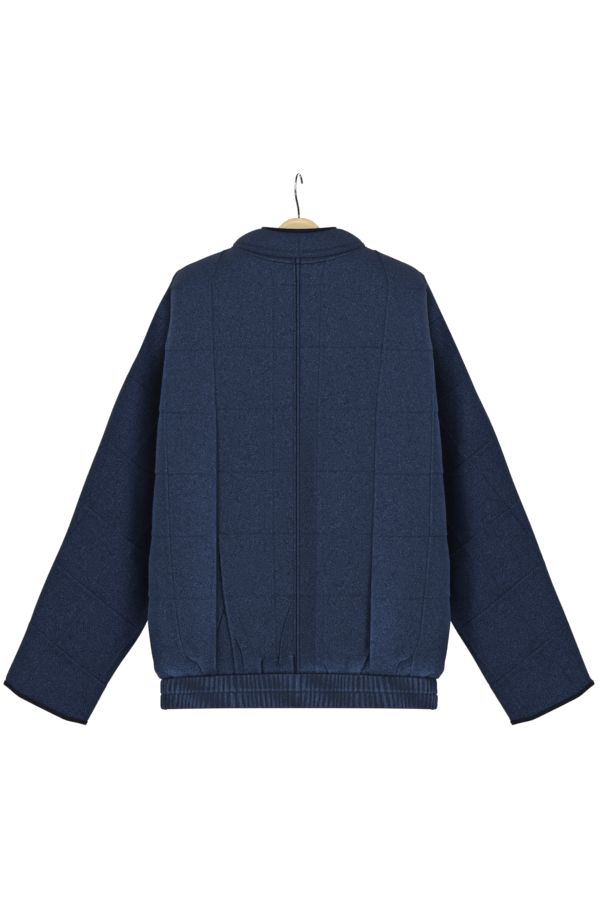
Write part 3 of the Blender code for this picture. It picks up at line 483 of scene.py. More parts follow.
def wood_material(name):
    """Pale varnished wood with long streaks of grain along the hanger."""
    material, tree, shader = plain_material(name, 0.38)
    shader.inputs["Coat Weight"].default_value = 0.35
    shader.inputs["Coat Roughness"].default_value = 0.25
    places = tree.nodes.new("ShaderNodeTexCoord")
    stretch = add_node(tree, "ShaderNodeMapping", Scale=(6.0, 160.0, 160.0))
    grain = add_node(tree, "ShaderNodeTexNoise", Scale=1.0, Detail=6.0, Roughness=0.6, Distortion=0.4)
    ramp = tree.nodes.new("ShaderNodeValToRGB")
    ramp.color_ramp.elements[0].position = 0.34
    ramp.color_ramp.elements[0].color = (*WOOD_DARK, 1.0)
    ramp.color_ramp.elements[1].position = 0.58
    ramp.color_ramp.elements[1].color = (*WOOD, 1.0)
    relief = add_node(tree, "ShaderNodeBump", Strength=0.10, Distance=0.0004)
    tree.links.new(places.outputs["Object"], stretch.inputs["Vector"])
    tree.links.new(stretch.outputs["Vector"], grain.inputs["Vector"])
    tree.links.new(grain.outputs["Fac"], ramp.inputs["Fac"])
    tree.links.new(ramp.outputs["Color"], shader.inputs["Base Color"])
    tree.links.new(grain.outputs["Fac"], relief.inputs["Height"])
    tree.links.new(relief.outputs["Normal"], shader.inputs["Normal"])
    return material


ZIP_METAL = metal_material("dark_zip_metal", (0.090, 0.095, 0.110, 1.0), 0.38, 0.08)
HOOK_STEEL = metal_material("polished_wire", (0.30, 0.295, 0.285, 1.0), 0.30, 0.06)
HANGER_WOOD = wood_material("varnished_wood")
print("hard finishes:", [m.name for m in (ZIP_METAL, HOOK_STEEL, HANGER_WOOD)])

# %% [markdown]
# ## Curves and cloth walls
#
# Every soft piece below is a wall: an outer grid of points, an inner grid one cloth thickness behind it,
# and rims that close the two. Grids come from smooth curves through a few pattern sizes. Working on
# whole arrays of points at once keeps this quick, even on meshes of many thousand faces.

# %% Curve helpers
def smooth_step(value):
    """Ease from 0 to 1."""
    value = np.clip(value, 0.0, 1.0)
    return value * value * (3.0 - 2.0 * value)


def hermite(at, knots, values):
    """Smooth curves through the values at the knots."""
    knots = np.asarray(knots, float)
    values = np.asarray(values, float)
    at = np.asarray(at, float)
    slopes = np.gradient(values, knots, axis=0)
    low = np.clip(np.searchsorted(knots, at, side="right") - 1, 0, len(knots) - 2)
    span = knots[low + 1] - knots[low]
    t = (at - knots[low]) / span
    shape = t.shape + (1,) * (values.ndim - 1)
    t = t.reshape(shape)
    span = span.reshape(shape)
    start = values[low] * (1 + 2 * t) * (1 - t) ** 2 + slopes[low] * span * t * (1 - t) ** 2
    end = values[low + 1] * t * t * (3 - 2 * t) - slopes[low + 1] * span * t * t * (1 - t)
    return start + end


def arc_lengths(points):
    """Distance along a line of points."""
    steps = np.linalg.norm(np.diff(points, axis=0), axis=1)
    return np.concatenate(([0.0], np.cumsum(steps)))


def smooth_curve(points, count=200):
    """A dense smooth line through a few points."""
    points = np.asarray(points, float)
    along = arc_lengths(points)
    return hermite(np.linspace(0.0, along[-1], count), along, points)


def along_curve(curve, distances):
    """Points of a dense line at given distances."""
    lengths = arc_lengths(curve)
    return np.stack([np.interp(distances, lengths, axis) for axis in curve.T], axis=-1)


def unit(vectors):
    """Vectors of length one."""
    return vectors / np.maximum(np.linalg.norm(vectors, axis=-1, keepdims=True), 1e-12)


def grid_normals(grid, outward, closed=False):
    """Unit normals of a grid, turned to the side of the outward vectors."""
    down = np.gradient(grid, axis=0)
    if closed:
        across = np.roll(grid, -1, axis=1) - np.roll(grid, 1, axis=1)
    else:
        across = np.gradient(grid, axis=1)
    normals = unit(np.cross(down, across))
    return normals * np.sign(np.sum(normals * outward))


def mirrored(points):
    """The same points on the wearer's other side."""
    return points * np.array((-1.0, 1.0, 1.0))


def on_side(side, *grids):
    """Grids of the wearer's left, mirrored if they belong on the right."""
    return [mirrored(grid) if side == "right" else grid for grid in grids]


def down_columns(grid):
    """Distance of each point from the first row, along its column."""
    steps = np.linalg.norm(np.diff(grid, axis=0), axis=2)
    return np.concatenate([np.zeros((1, grid.shape[1])), np.cumsum(steps, axis=0)])


# %% Mesh helpers
SHARP = math.radians(50.0)


def grid_quads(rows, columns, closed=False):
    """Four-sided faces between the points of a grid."""
    spans = columns if closed else columns - 1
    row, column = np.meshgrid(np.arange(rows - 1), np.arange(spans), indexing="ij")
    after = (column + 1) % columns
    here = row * columns
    below = (row + 1) * columns
    quads = [here + column, here + after, below + after, below + column]
    return np.stack(quads, axis=-1).reshape(-1, 4)


def make_mesh(name, points, quads, material, cloth_uv=None, pressed=None, quilt_uv=None, fold=None):
    """A smooth mesh object with cloth and quilt coordinates, its share of painted shade and light, and
    distances to folds.
    """
    mesh = bpy.data.meshes.new(name)
    mesh.from_pydata(points.tolist(), [], quads.tolist())
    corners = np.zeros(len(mesh.loops), np.int32)
    mesh.loops.foreach_get("vertex_index", corners)
    for layer_name, places in (("cloth", cloth_uv), ("quilt", quilt_uv)):
        if places is not None:
            layer = mesh.uv_layers.new(name=layer_name)
            layer.data.foreach_set("uv", places[corners].astype(np.float32).ravel())
    for mark, values in (("pressed", pressed), ("fold", fold)):
        if values is not None:
            store = mesh.attributes.new(mark, "FLOAT", "POINT")
            store.data.foreach_set("value", values.astype(np.float32))
    mesh.materials.append(material)
    mesh.shade_smooth()
    mesh.set_sharp_from_angle(angle=SHARP)
    made = bpy.data.objects.new(name, mesh)
    bpy.context.scene.collection.objects.link(made)
    return made


NO_FOLD = 0.05


def make_wall(name, outer, inner, material, cloth_uv, pressed, closed=False, quilt_uv=None, fold=None):
    """A closed cloth wall from an outer and an inner grid."""
    rows, columns = outer.shape[:2]
    count = rows * columns
    face = grid_quads(rows, columns, closed)
    ids = np.arange(count).reshape(rows, columns)
    border = []
    for line, back in ((ids[0], True), (ids[-1], False)):
        ends = np.roll(line, -1) if closed else line[1:]
        starts = line if closed else line[:-1]
        pair = (ends, starts) if back else (starts, ends)
        border.append(np.stack([pair[0], pair[1], pair[1] + count, pair[0] + count], axis=-1))
    if not closed:
        for line, back in ((ids[:, 0], False), (ids[:, -1], True)):
            pair = (line[1:], line[:-1]) if back else (line[:-1], line[1:])
            border.append(np.stack([pair[0], pair[1], pair[1] + count, pair[0] + count], axis=-1))
    quads = np.vstack([face, face[:, ::-1] + count] + border)
    points = np.vstack([outer.reshape(-1, 3), inner.reshape(-1, 3)])
    first = points[face]
    middle_normal = np.cross(first[:, 2] - first[:, 0], first[:, 3] - first[:, 1])
    outward = (outer - inner).reshape(-1, 3)[face[:, 0]]
    if np.sum(middle_normal * outward) < 0.0:
        quads = quads[:, ::-1]
    uv = np.tile(cloth_uv.reshape(-1, 2), (2, 1))
    marks = np.concatenate([pressed.ravel(), np.zeros(count)])
    if quilt_uv is not None:
        plain = np.full((count, 2), 0.5)
        quilt_uv = np.vstack([quilt_uv.reshape(-1, 2), plain])
        far = np.full(count, NO_FOLD)
        fold = np.concatenate([far if fold is None else fold.ravel(), far])
    return make_mesh(name, points, quads, material, uv, marks, quilt_uv, fold)


# %% Standing for a solid
SIDES = ("left", "right")


def stand_for(piece, node):
    """Let a piece take the place of a solid, on the jacket's body."""
    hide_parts(node)
    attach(piece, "jacket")


# %% [markdown]
# ## The body
#
# Each half of the back and front is one pattern piece. It starts at the centre, runs flat across the blade,
# rolls round the side in a soft fold and tucks in to the armhole and side seam. The table holds the body's
# sections from the yoke to the hem, with the same columns as the solids: half width, depth of back and front,
# how far out the rolled fold lies, how deep the tuck is, and how wide the armhole opens.

# %% Body sizes
CLOTH = 0.003
SEAM_GAP = 0.0
BODY_COLUMNS = ("level", "half_width", "back", "front", "roll", "notch", "arm")
BODY_SECTIONS = (
    (-0.158, 0.1808, 0.074, 0.066, 0.030, 0.0005, 0.0120),
    (-0.200, 0.1812, 0.077, 0.071, 0.041, 0.0065, 0.0270),
    (-0.248, 0.1868, 0.079, 0.075, 0.046, 0.0155, 0.0330),
    (-0.319, 0.1936, 0.080, 0.077, 0.047, 0.0300, 0.0340),
    (-0.418, 0.2019, 0.081, 0.078, 0.046, 0.0500, 0.0230),
    (-0.455, 0.2046, 0.082, 0.078, 0.045, 0.0580, 0.0002),
    (-0.500, 0.2075, 0.083, 0.078, 0.044, 0.0630, 0.0002),
    (-0.546, 0.2100, 0.084, 0.078, 0.043, 0.0570, 0.0002),
    (-0.600, 0.2106, 0.085, 0.078, 0.042, 0.0420, 0.0002),
    (-0.631, 0.2112, 0.085, 0.078, 0.042, 0.0330, 0.0002),
    (-0.660, 0.2084, 0.084, 0.077, 0.042, 0.0250, 0.0002),
    (-0.690, 0.2048, 0.077, 0.071, 0.038, 0.0140, 0.0002),
    (-0.7100, 0.2004, 0.067, 0.061, 0.033, 0.0057, 0.0002),
    (-0.7165, 0.1936, 0.063, 0.058, 0.031, 0.0030, 0.0002),
)
SECTION_TURN = (
    # share of the half width, share of the depth, share of the roll
    (0.00, 1.000, 0.00),
    (0.50, 1.010, 0.00),
    (0.80, 0.940, 0.00),
    (0.95, 0.583, 0.38),
    (1.00, 0.000, 1.00),
)
SECTION_LAP = (
    # share of the notch, drop to the seam where plain, and where tucked
    (0.50, 0.45, 0.06),
    (0.92, 0.80, 0.32),
    (1.00, 1.00, 1.00),
)
TUCKED_NOTCH = 0.030
YOKE_LEVEL = -0.158
UNDERARM_LEVEL = -0.455
HEM_LEVEL = -0.7165
HEM_RISE = 0.012
HEM_RISE_START = -0.600
FRONT_OPENING = 0.007
NECK_ARC = 0.114
NECK_HALF_WIDTH = 0.095
NECK_DEPTHS = {1: 0.070, -1: 0.064}
NECK_DIPS = {1: 0.019, -1: 0.0486}
NECK_POINT_LEVEL = -0.1020
SHOULDER_LINE = (
    # x and z of the shoulder seam from the neck point to the tip
    (0.0950, -0.1020),
    (0.1010, -0.1040),
    (0.1136, -0.1090),
    (0.1278, -0.1146),
    (0.1406, -0.1201),
    (0.1548, -0.1260),
    (0.1647, -0.1314),
    (0.1718, -0.1370),
    (0.1775, -0.1427),
    (0.1803, -0.1480),
)
YOKE_ROUND = 0.72
YOKE_STEEP = (0.50, 0.35)
print("body sections:", len(BODY_SECTIONS))

# %% Body sections as a fine grid
ROW_STEP = 0.0056
HEM_ROW_STEP = 0.0024
HEM_ROWS_TOP = -0.575
YOKE_ROWS = 30
YOKE_CROWD = 1.5
LINE_ROWS = (-0.0044, -0.0020, 0.0, 0.0020, 0.0044)
LINE_CLEAR = 0.0014
ROW_CLEAR = 0.0005
COLUMN_RUNS = (
    # end of a run of columns, columns in it
    (0.011, 11),
    (0.088, 38),
    (0.114, 19),
    (0.132, 13),
)
LAST_COLUMNS = 56
NECK_COLUMNS = 1 + sum(count for end, count in COLUMN_RUNS if end <= NECK_ARC)
QUILT_ROWS = 7
QUILT_LEVELS = np.array([YOKE_LEVEL - QUILT_PITCH * row for row in range(QUILT_ROWS)])


def section_curve(level, face):
    """Half a body section from the centre seam to the side, back (+1) or front (-1)."""
    rows = np.asarray(BODY_SECTIONS)
    size = dict(zip(BODY_COLUMNS, hermite(-level, -rows[:, 0], rows)))
    arm = max(size["arm"], SEAM_GAP / 2)
    roll = size["roll"]
    width = size["half_width"]
    depth = size["back"] if face > 0 else size["front"]
    tucked = smooth_step(size["notch"] / TUCKED_NOTCH)
    points = [(across * width, out * depth + rolled * roll) for across, out, rolled in SECTION_TURN]
    for inwards, plain_drop, tucked_drop in SECTION_LAP:
        drop = plain_drop + (tucked_drop - plain_drop) * tucked
        points.append((width - inwards * size["notch"], roll - drop * (roll - arm)))
    return smooth_curve(points) * np.array((1.0, face))


def runs(start, parts):
    """Distances in runs of even steps."""
    found = [start]
    for end, count in parts:
        found.extend(np.linspace(found[-1], end, count + 1)[1:])
    return found


def body_levels():
    """Levels of the rows below the yoke, closer together at the stitched lines."""
    plain = np.arange(YOKE_LEVEL, HEM_ROWS_TOP, -ROW_STEP)
    hem = np.arange(HEM_ROWS_TOP, HEM_LEVEL, -HEM_ROW_STEP)
    even = np.concatenate([plain, hem])
    lines = (QUILT_LEVELS[1:, None] + np.array(LINE_ROWS)).ravel()
    far = np.min(np.abs(even[:, None] - lines), axis=1) > LINE_CLEAR
    kept = np.concatenate([even[far], lines, [YOKE_LEVEL, UNDERARM_LEVEL, HEM_LEVEL]])
    kept = np.unique(kept.round(6))[::-1]
    clear = np.concatenate(([True], -np.diff(kept) > ROW_CLEAR))
    return kept[clear]


def body_grid(face):
    """Points of half the back or front, with each point's distance from the centre and level on the cloth."""
    start = FRONT_OPENING if face < 0 else SEAM_GAP / 2
    rows = []
    arcs_of_rows = []
    for level in BODY_LEVELS:
        curve = section_curve(level, face)
        length = arc_lengths(curve)[-1]
        arcs = np.array(runs(start, COLUMN_RUNS + ((length, LAST_COLUMNS),)))
        rise = HEM_RISE * smooth_step((HEM_RISE_START - level) / (HEM_RISE_START - HEM_LEVEL))
        rows.append(np.column_stack([along_curve(curve, arcs), level + rise * (1.0 - (arcs / length) ** 2)]))
        arcs_of_rows.append(arcs)
    yoke, arcs = rows[0], arcs_of_rows[0]
    angle = arcs[:NECK_COLUMNS] / NECK_ARC * math.pi / 2
    cos = np.cos(angle)
    neck = np.stack([NECK_HALF_WIDTH * np.sin(angle), face * NECK_DEPTHS[face] * cos,
                     NECK_POINT_LEVEL - NECK_DIPS[face] * cos * cos], axis=-1)
    share = (arcs[NECK_COLUMNS:] - NECK_ARC) / (arcs[-1] - NECK_ARC)
    seam = smooth_curve(SHOULDER_LINE)
    seam_points = along_curve(seam, share * arc_lengths(seam)[-1])
    top = np.vstack([neck, np.stack([seam_points[:, 0], np.zeros(len(share)), seam_points[:, 1]], axis=-1)])
    if face < 0:
        top[0, 0] = FRONT_OPENING
    steep = YOKE_STEEP[0] + YOKE_STEEP[1] * np.clip(top[:, 0] / NECK_HALF_WIDTH, 0.0, 1.0)
    control = np.stack([0.5 * (top[:, 0] + yoke[:, 0]),
                        YOKE_ROUND * yoke[:, 1] + (1.0 - YOKE_ROUND) * top[:, 1],
                        steep * top[:, 2] + (1.0 - steep) * yoke[:, 2]], axis=-1)
    shares = np.linspace(0.0, 1.0, YOKE_ROWS + 1)[:-1] ** YOKE_CROWD
    above = [(1 - t) ** 2 * top + 2 * t * (1 - t) * control + t * t * yoke for t in shares]
    grid = np.array(above + rows)
    limit = SEAM_GAP / 2
    grid[..., 1] = face * np.maximum(face * grid[..., 1], limit)
    grid[..., 0] = np.maximum(grid[..., 0], limit)
    down = down_columns(grid)
    level = YOKE_LEVEL + down[YOKE_ROWS] - down
    level[YOKE_ROWS:] = BODY_LEVELS[:, None]
    return grid, np.array([arcs] * YOKE_ROWS + arcs_of_rows), level, down


BODY_LEVELS = body_levels()
BODY = {face: body_grid(face) for face in (1, -1)}
UNDERARM_ROW = YOKE_ROWS + int(np.argmin(np.abs(BODY_LEVELS - UNDERARM_LEVEL)))
print("body grid:", BODY[1][0].shape, "underarm row:", UNDERARM_ROW)

# %% [markdown]
# ## Quilting, folds and creases
#
# The quilting is a lattice of squares nearly nine centimetres wide. Each stitched line presses a narrow
# valley into the cloth, with small puckers beside it where the thread draws the cloth up. The middle of
# the back hangs a little deeper than the sides, so the two lines that bound it show as long folds. Above
# the hem band the cloth blouses into short uneven tucks. They are listed along bent lines, and
# each point of the cloth keeps its distance to the nearest one, where the finish paints shade and a
# highlight.

# %% Quilt lines on the body
UPRIGHT_LINES = {
    # for each side: lines of (level, distance from the centre seam)
    "left": (
        ((-0.158, 0.0365), (-0.500, 0.0365), (-0.7165, 0.031)),
        ((-0.158, 0.1235), (-0.360, 0.1155), (-0.7165, 0.1155)),
        ((-0.158, 0.2000), (-0.420, 0.1853), (-0.509, 0.1822), (-0.584, 0.1765),
         (-0.660, 0.1677), (-0.682, 0.1611), (-0.7165, 0.1560)),
    ),
    "right": (
        ((-0.158, 0.0312), (-0.350, 0.0262), (-0.7165, 0.022)),
        ((-0.158, 0.1260), (-0.333, 0.1085), (-0.600, 0.1005), (-0.682, 0.0992), (-0.7165, 0.0985)),
        ((-0.158, 0.2040), (-0.420, 0.1859), (-0.509, 0.1837), (-0.589, 0.1771),
         (-0.660, 0.1706), (-0.682, 0.1618), (-0.7165, 0.1560)),
    ),
}
LAP_HEIGHT = 0.0007
LAP_DROP = 0.0010
LAP_REACH = 0.006
LAP_EDGE = 0.0016
PILLOW_WIDTH = 0.026
PILLOW_HEIGHT = 0.0012
PUCKER_HEIGHT = 0.00030
PUCKER_REACH = 0.010
PUCKER_PITCH = 0.0125
PUCKER_WANDER = 1.7
PUCKER_DRIFT = 0.071
LAST_LINE = -5.75
SIDE_DROP = 0.0042


def upright_line(side, index, level):
    """Distance of an upright quilt line from the centre seam at each level."""
    knots = np.array(UPRIGHT_LINES[side][index])[::-1]
    return np.interp(level, knots[:, 0], knots[:, 1])


def lap(distance, along, seed, broad):
    """Height and plumpness beside one stitched line, raised where the distance is above zero."""
    near = np.abs(distance)
    edge = LAP_EDGE * broad
    raised = LAP_HEIGHT * np.exp(-((distance - 0.002) / LAP_REACH) ** 2) * smooth_step(0.5 + distance / edge)
    dropped = LAP_DROP * np.exp(-near / LAP_REACH) * smooth_step(0.5 - distance / edge)
    pillow = 1.0 - np.exp(-(near / PILLOW_WIDTH) ** 2)
    wander = PUCKER_WANDER * np.sin(2.0 * math.pi * along / PUCKER_DRIFT + seed)
    phase = 2.0 * math.pi * along / PUCKER_PITCH + wander + 2.3 * seed
    pucker = np.sin(phase) * np.exp(-(near / PUCKER_REACH) ** 2) * smooth_step(near / 0.004)
    return broad * (raised - dropped) + PUCKER_HEIGHT * pucker, pillow


def quilted(pairs, broad=1.0):
    """Height over a piece, from pairs of distance to a line and distance along it."""
    height = 0.0
    pillow = 1.0
    for seed, (distance, along) in enumerate(pairs):
        low, puff = lap(distance, along, seed, broad)
        height = height + low
        pillow = np.minimum(pillow, puff)
    return height + PILLOW_HEIGHT * pillow


def side_level(side, arcs, level):
    """The level, counted a little lower outside the main upright line, where the cross lines are stepped."""
    return level + SIDE_DROP * smooth_step((arcs - upright_line(side, 1, level)) / 0.004)


def body_quilt(side, arcs, level):
    """Quilt coordinates of a body panel: whole numbers lie on the stitched lines."""
    lines = [upright_line(side, index, level) for index in range(3)]
    knots = np.stack([np.zeros_like(arcs)] + lines + [lines[2] + QUILT_PITCH], axis=-1)
    counts = np.array((0.5, 1.0, 2.0, 3.0, 4.0))
    across = np.full_like(arcs, 3.5)
    for index in range(len(counts) - 1):
        low, high = knots[..., index], knots[..., index + 1]
        inside = (arcs >= low) & (arcs < high)
        share = (arcs - low) / (high - low)
        across = np.where(inside, counts[index] + share * (counts[index + 1] - counts[index]), across)
    down = np.maximum((side_level(side, arcs, level) - YOKE_LEVEL) / QUILT_PITCH, LAST_LINE)
    return np.stack([np.minimum(across, 3.5), down], axis=-1)


print("quilt levels:", QUILT_LEVELS.round(3).tolist())

# %% Creases placed one by one
BODY_CREASES = {
    # distance from the centre and level at the start, the same at the end, half width, height
    ("left", 1): (
        (0.104, -0.595, 0.099, -0.665, 0.010, -0.0030),
        (0.102, -0.600, 0.082, -0.690, 0.009, -0.0028),
        (0.092, -0.640, 0.090, -0.712, 0.008, 0.0030),
        (0.112, -0.640, 0.116, -0.705, 0.010, 0.0028),
        (0.008, -0.540, 0.038, -0.640, 0.009, -0.0022),
        (0.038, -0.630, 0.050, -0.706, 0.010, -0.0030),
        (0.028, -0.610, 0.024, -0.706, 0.011, 0.0024),
        (0.066, -0.672, 0.064, -0.712, 0.009, 0.0026),
        (0.160, -0.665, 0.139, -0.708, 0.009, -0.0030),
        (0.150, -0.690, 0.130, -0.712, 0.008, 0.0030),
        (0.190, -0.676, 0.172, -0.712, 0.010, -0.0034),
        (0.062, -0.175, 0.056, -0.250, 0.008, 0.0006),
        (0.078, -0.185, 0.070, -0.262, 0.008, -0.0006),
        (0.150, -0.560, 0.144, -0.640, 0.014, 0.0012),
    ),
    ("right", 1): (
        (0.027, -0.560, 0.024, -0.706, 0.008, -0.0022),
        (0.012, -0.560, 0.010, -0.700, 0.011, 0.0016),
        (0.101, -0.560, 0.100, -0.680, 0.009, -0.0026),
        (0.100, -0.665, 0.086, -0.712, 0.009, -0.0030),
        (0.116, -0.660, 0.108, -0.712, 0.010, 0.0032),
        (0.062, -0.680, 0.064, -0.712, 0.010, 0.0022),
        (0.040, -0.685, 0.044, -0.712, 0.007, -0.0026),
        (0.150, -0.672, 0.138, -0.708, 0.009, -0.0030),
        (0.136, -0.690, 0.124, -0.712, 0.008, 0.0024),
        (0.190, -0.676, 0.172, -0.712, 0.010, -0.0034),
        (0.0426, -0.118, 0.0430, -0.160, 0.004, -0.0010),
        (0.150, -0.540, 0.146, -0.640, 0.014, 0.0012),
    ),
    ("left", -1): (
        (0.060, -0.560, 0.068, -0.690, 0.012, 0.0028),
        (0.090, -0.590, 0.094, -0.708, 0.009, -0.0030),
        (0.030, -0.630, 0.036, -0.710, 0.010, -0.0028),
        (0.130, -0.620, 0.118, -0.708, 0.010, 0.0032),
        (0.168, -0.660, 0.150, -0.710, 0.009, -0.0032),
        (0.150, -0.240, 0.120, -0.330, 0.016, 0.0018),
        (0.050, -0.300, 0.044, -0.520, 0.014, -0.0012),
    ),
    ("right", -1): (
        (0.048, -0.590, 0.056, -0.700, 0.011, 0.0030),
        (0.078, -0.570, 0.074, -0.705, 0.009, -0.0028),
        (0.108, -0.640, 0.112, -0.710, 0.010, 0.0030),
        (0.140, -0.610, 0.130, -0.708, 0.009, -0.0030),
        (0.176, -0.660, 0.160, -0.710, 0.009, 0.0030),
        (0.144, -0.250, 0.112, -0.350, 0.016, 0.0018),
        (0.060, -0.340, 0.052, -0.540, 0.014, -0.0012),
    ),
}
BODY_TUCKS = {
    # points of (distance from the centre, level) down the tuck, then height
    # a tuck whose height is above zero lies over towards the centre
    ("left", 1): (
        (((0.1022, -0.600), (0.1136, -0.644), (0.1164, -0.7036)), -0.0030),
        (((0.1145, -0.480), (0.1098, -0.558), (0.1040, -0.612), (0.0985, -0.645), (0.0945, -0.668),
          (0.0900, -0.7140)), 0.0034),
        (((0.0945, -0.648), (0.0812, -0.682), (0.0776, -0.7060)), 0.0026),
        (((0.0850, -0.612), (0.0650, -0.680)), 0.0016),
        (((0.0028, -0.580), (0.0241, -0.6553), (0.0284, -0.7000)), 0.0024),
        (((0.1610, -0.683), (0.1555, -0.6900), (0.1405, -0.6985), (0.1360, -0.7115)), 0.0036),
        (((0.0440, -0.690), (0.0505, -0.694), (0.0520, -0.7150)), -0.0036),
        (((0.0069, -0.6887), (0.0264, -0.6923), (0.0431, -0.6957)), 0.0020),
        (((0.0080, -0.682), (0.0066, -0.7150)), -0.0034),
        (((0.1990, -0.7030), (0.1905, -0.7080), (0.1780, -0.7150)), 0.0036),
    ),
    ("right", 1): (
        (((0.0992, -0.684), (0.0950, -0.6975), (0.0862, -0.7145)), 0.0036),
        (((0.1625, -0.682), (0.1570, -0.6890), (0.1405, -0.6975), (0.1360, -0.7115)), 0.0036),
        (((0.0350, -0.700), (0.0410, -0.7150)), -0.0034),
        (((0.0680, -0.690), (0.0640, -0.7130)), 0.0014),
        (((0.1990, -0.7030), (0.1905, -0.7080), (0.1780, -0.7150)), 0.0036),
    ),
    ("left", -1): (
        (((0.0900, -0.610), (0.0960, -0.7100)), 0.0028),
        (((0.0400, -0.670), (0.0360, -0.7120)), -0.0028),
        (((0.1600, -0.680), (0.1420, -0.7120)), 0.0032),
    ),
    ("right", -1): (
        (((0.0740, -0.600), (0.0700, -0.7100)), -0.0028),
        (((0.1200, -0.660), (0.1120, -0.7120)), 0.0030),
        (((0.1700, -0.680), (0.1520, -0.7120)), 0.0032),
    ),
}
TUCK_EDGE = 0.0030
TUCK_USUAL = 0.0030
TUCK_REACH = 0.009
TUCK_FADE = 0.32
CREASE_END = 0.18


def creased(across, level, creases):
    """Height of soft ridges and troughs that fade towards both ends."""
    total = np.zeros_like(across)
    for x0, z0, x1, z1, half_width, height in creases:
        run = np.array((x1 - x0, z1 - z0))
        length = np.linalg.norm(run)
        run = run / length
        along = (across - x0) * run[0] + (level - z0) * run[1]
        aside = (across - x0) * run[1] - (level - z0) * run[0]
        wander = 0.18 * half_width * np.sin(along / length * 5.0 + 40.0 * x0)
        ease = CREASE_END * length
        fade = smooth_step(along / ease + 0.5) * smooth_step((length - along) / ease + 0.5)
        total += height * fade * np.exp(-2.0 * ((aside - wander) / half_width) ** 2)
    return total


def nearer(first, second):
    """The smaller of two signed distances."""
    return np.where(np.abs(first) < np.abs(second), first, second)


def from_path(across, level, path):
    """Distance of each point from the nearest point of a path of (level, distance from the centre)."""
    nearest = np.full_like(across, NO_FOLD)
    for down, out in path:
        nearest = np.minimum(nearest, np.hypot(across - out, level - down))
    return nearest


def tucked(across, level, tucks):
    """Height of small tucks, where cloth laps over itself, and the distance to the nearest."""
    total = np.zeros_like(across)
    fold = np.full_like(across, NO_FOLD)
    for points, height in tucks:
        path = smooth_curve(np.array(points)[:, ::-1], 60)[::-1]
        beyond = across - np.interp(level, path[:, 0], path[:, 1])
        aside = from_path(across, level, path) * np.sign(beyond) * -np.sign(height)
        fade = TUCK_FADE * (path[-1, 0] - path[0, 0])
        ends = smooth_step((level - path[0, 0]) / 0.010 + 1.0) * smooth_step((path[-1, 0] - level) / fade)
        over = np.exp(-np.maximum(aside, 0.0) / TUCK_REACH) * smooth_step(0.5 + aside / TUCK_EDGE)
        under = np.exp(np.minimum(aside, 0.0) / TUCK_REACH) * smooth_step(0.5 - aside / TUCK_EDGE)
        total += 0.8 * abs(height) * ends * (over - under)
        bold = np.maximum(ends, 0.02) * (height / TUCK_USUAL) ** 2
        fold = nearer(np.clip(aside / bold, -NO_FOLD, NO_FOLD), fold)
    return total, fold


print("body creases:", sum(len(rows) for rows in BODY_CREASES.values()))

# %% Relief of a body panel
LEDGE_KNOTS = {
    # level, depth of the middle right behind the side's edge
    "left": ((-0.7165, 0.0), (-0.690, 0.004), (-0.580, 0.006), (-0.420, 0.005), (-0.330, 0.0025),
             (-0.260, 0.0008), (-0.180, 0.0005), (-0.120, 0.0)),
    "right": ((-0.7165, 0.001), (-0.698, 0.006), (-0.640, 0.008), (-0.600, 0.006), (-0.545, 0.0035),
              (-0.460, 0.0018), (-0.330, 0.0010), (-0.180, 0.0005), (-0.120, 0.0)),
}
LEDGE_EDGE = 0.0020
LEDGE_FADE = 0.014
LEDGE_REST = 0.40
LEDGE_SHADE = 0.18
LEDGE_USUAL = 0.009
LEDGE_BOLD = 0.010
LEDGE_BOLD_LIMITS = (0.02, 0.7)
SIDE_PAINTED_LIGHT = 0.50
SIDE_PAINTED_LIGHT_REACH = 0.045
LEDGE_PAINTED_HIGHLIGHT = 1.30
LEDGE_PAINTED_HIGHLIGHT_REACH = 0.0032
SHADED_STRIPS = {"left": (0.006, 0.036, 0.05), "right": (0.002, 0.0245, 0.26)}
STRIP_TOP = -0.280
CREST_SHARE = 0.32
CREST_REACH = 0.010
FRONT_SHARE = 0.5
BLOUSE_TOP = -0.570
BLOUSE_FULL = -0.680
BLOUSE_FLAT = 0.020
HEM_FLAT = 0.012
MIDDLE_FLAT = 0.010
BLOUSE_FOLDS = (
    # distance from the centre, half width, height
    (0.017, 0.020, -0.0022),
    (0.043, 0.022, 0.0030),
    (0.073, 0.024, -0.0024),
    (0.126, 0.022, 0.0040),
    (0.165, 0.026, -0.0030),
)
LAP_START = 0.240
LAP_END = 0.262
NECK_STITCH = 0.0075
NECK_RIDGE = 0.0020
NECK_SHADE = 0.7
NECK_SHADE_REACH = 0.0014
SEAM_RIDGE = 0.0015
SEAM_WIDTHS = {"left": 0.0032, "right": 0.0008}
SEAM_THIN = {"left": 1.1, "right": 1.5}
MIDDLE_BLEND = 0.030
HEM_SHADE = 1.0
HEM_LINE = (0.0050, 0.0036)
HEM_PAINTED_LIGHTS = {"left": (0.75, 1.90), "right": (1.70, 1.90)}
HEM_PAINTED_LIGHT_ARC = 0.130
HEM_PAINTED_LIGHT_REACH = 0.014
ROLL_PAINTED_HIGHLIGHTS = ((0.022, 0.85), (0.007, 1.50))
ROLL_HIGHLIGHT_LEVELS = (-0.150, -0.665)
GATHER_PITCH = 0.0105
GATHER_HEIGHT = 0.0010
GATHER_REACH = 0.022


def drift(across, level, seed):
    """Slow unevenness of hanging cloth."""
    return (0.0009 * np.sin(across * 31.0 + level * 9.0 + seed) * np.sin(level * 14.0 + 2.1 * seed)
            + 0.0005 * np.sin(across * 64.0 - level * 23.0 + 3.7 * seed))


def painted_roll_highlight(face, arcs, level):
    """Painted highlight along the rolled side, where it stands out from the sleeve."""
    widest = BODY[face][0][..., 0].argmax(axis=1)
    aside = arcs - np.take_along_axis(arcs, widest[:, None], axis=1)
    light = sum(amount * np.exp(-(aside / reach) ** 2) for reach, amount in ROLL_PAINTED_HIGHLIGHTS)
    return light * smooth_step((ROLL_HIGHLIGHT_LEVELS[0] - level) / 0.03) * smooth_step((level - ROLL_HIGHLIGHT_LEVELS[1]) / 0.04)


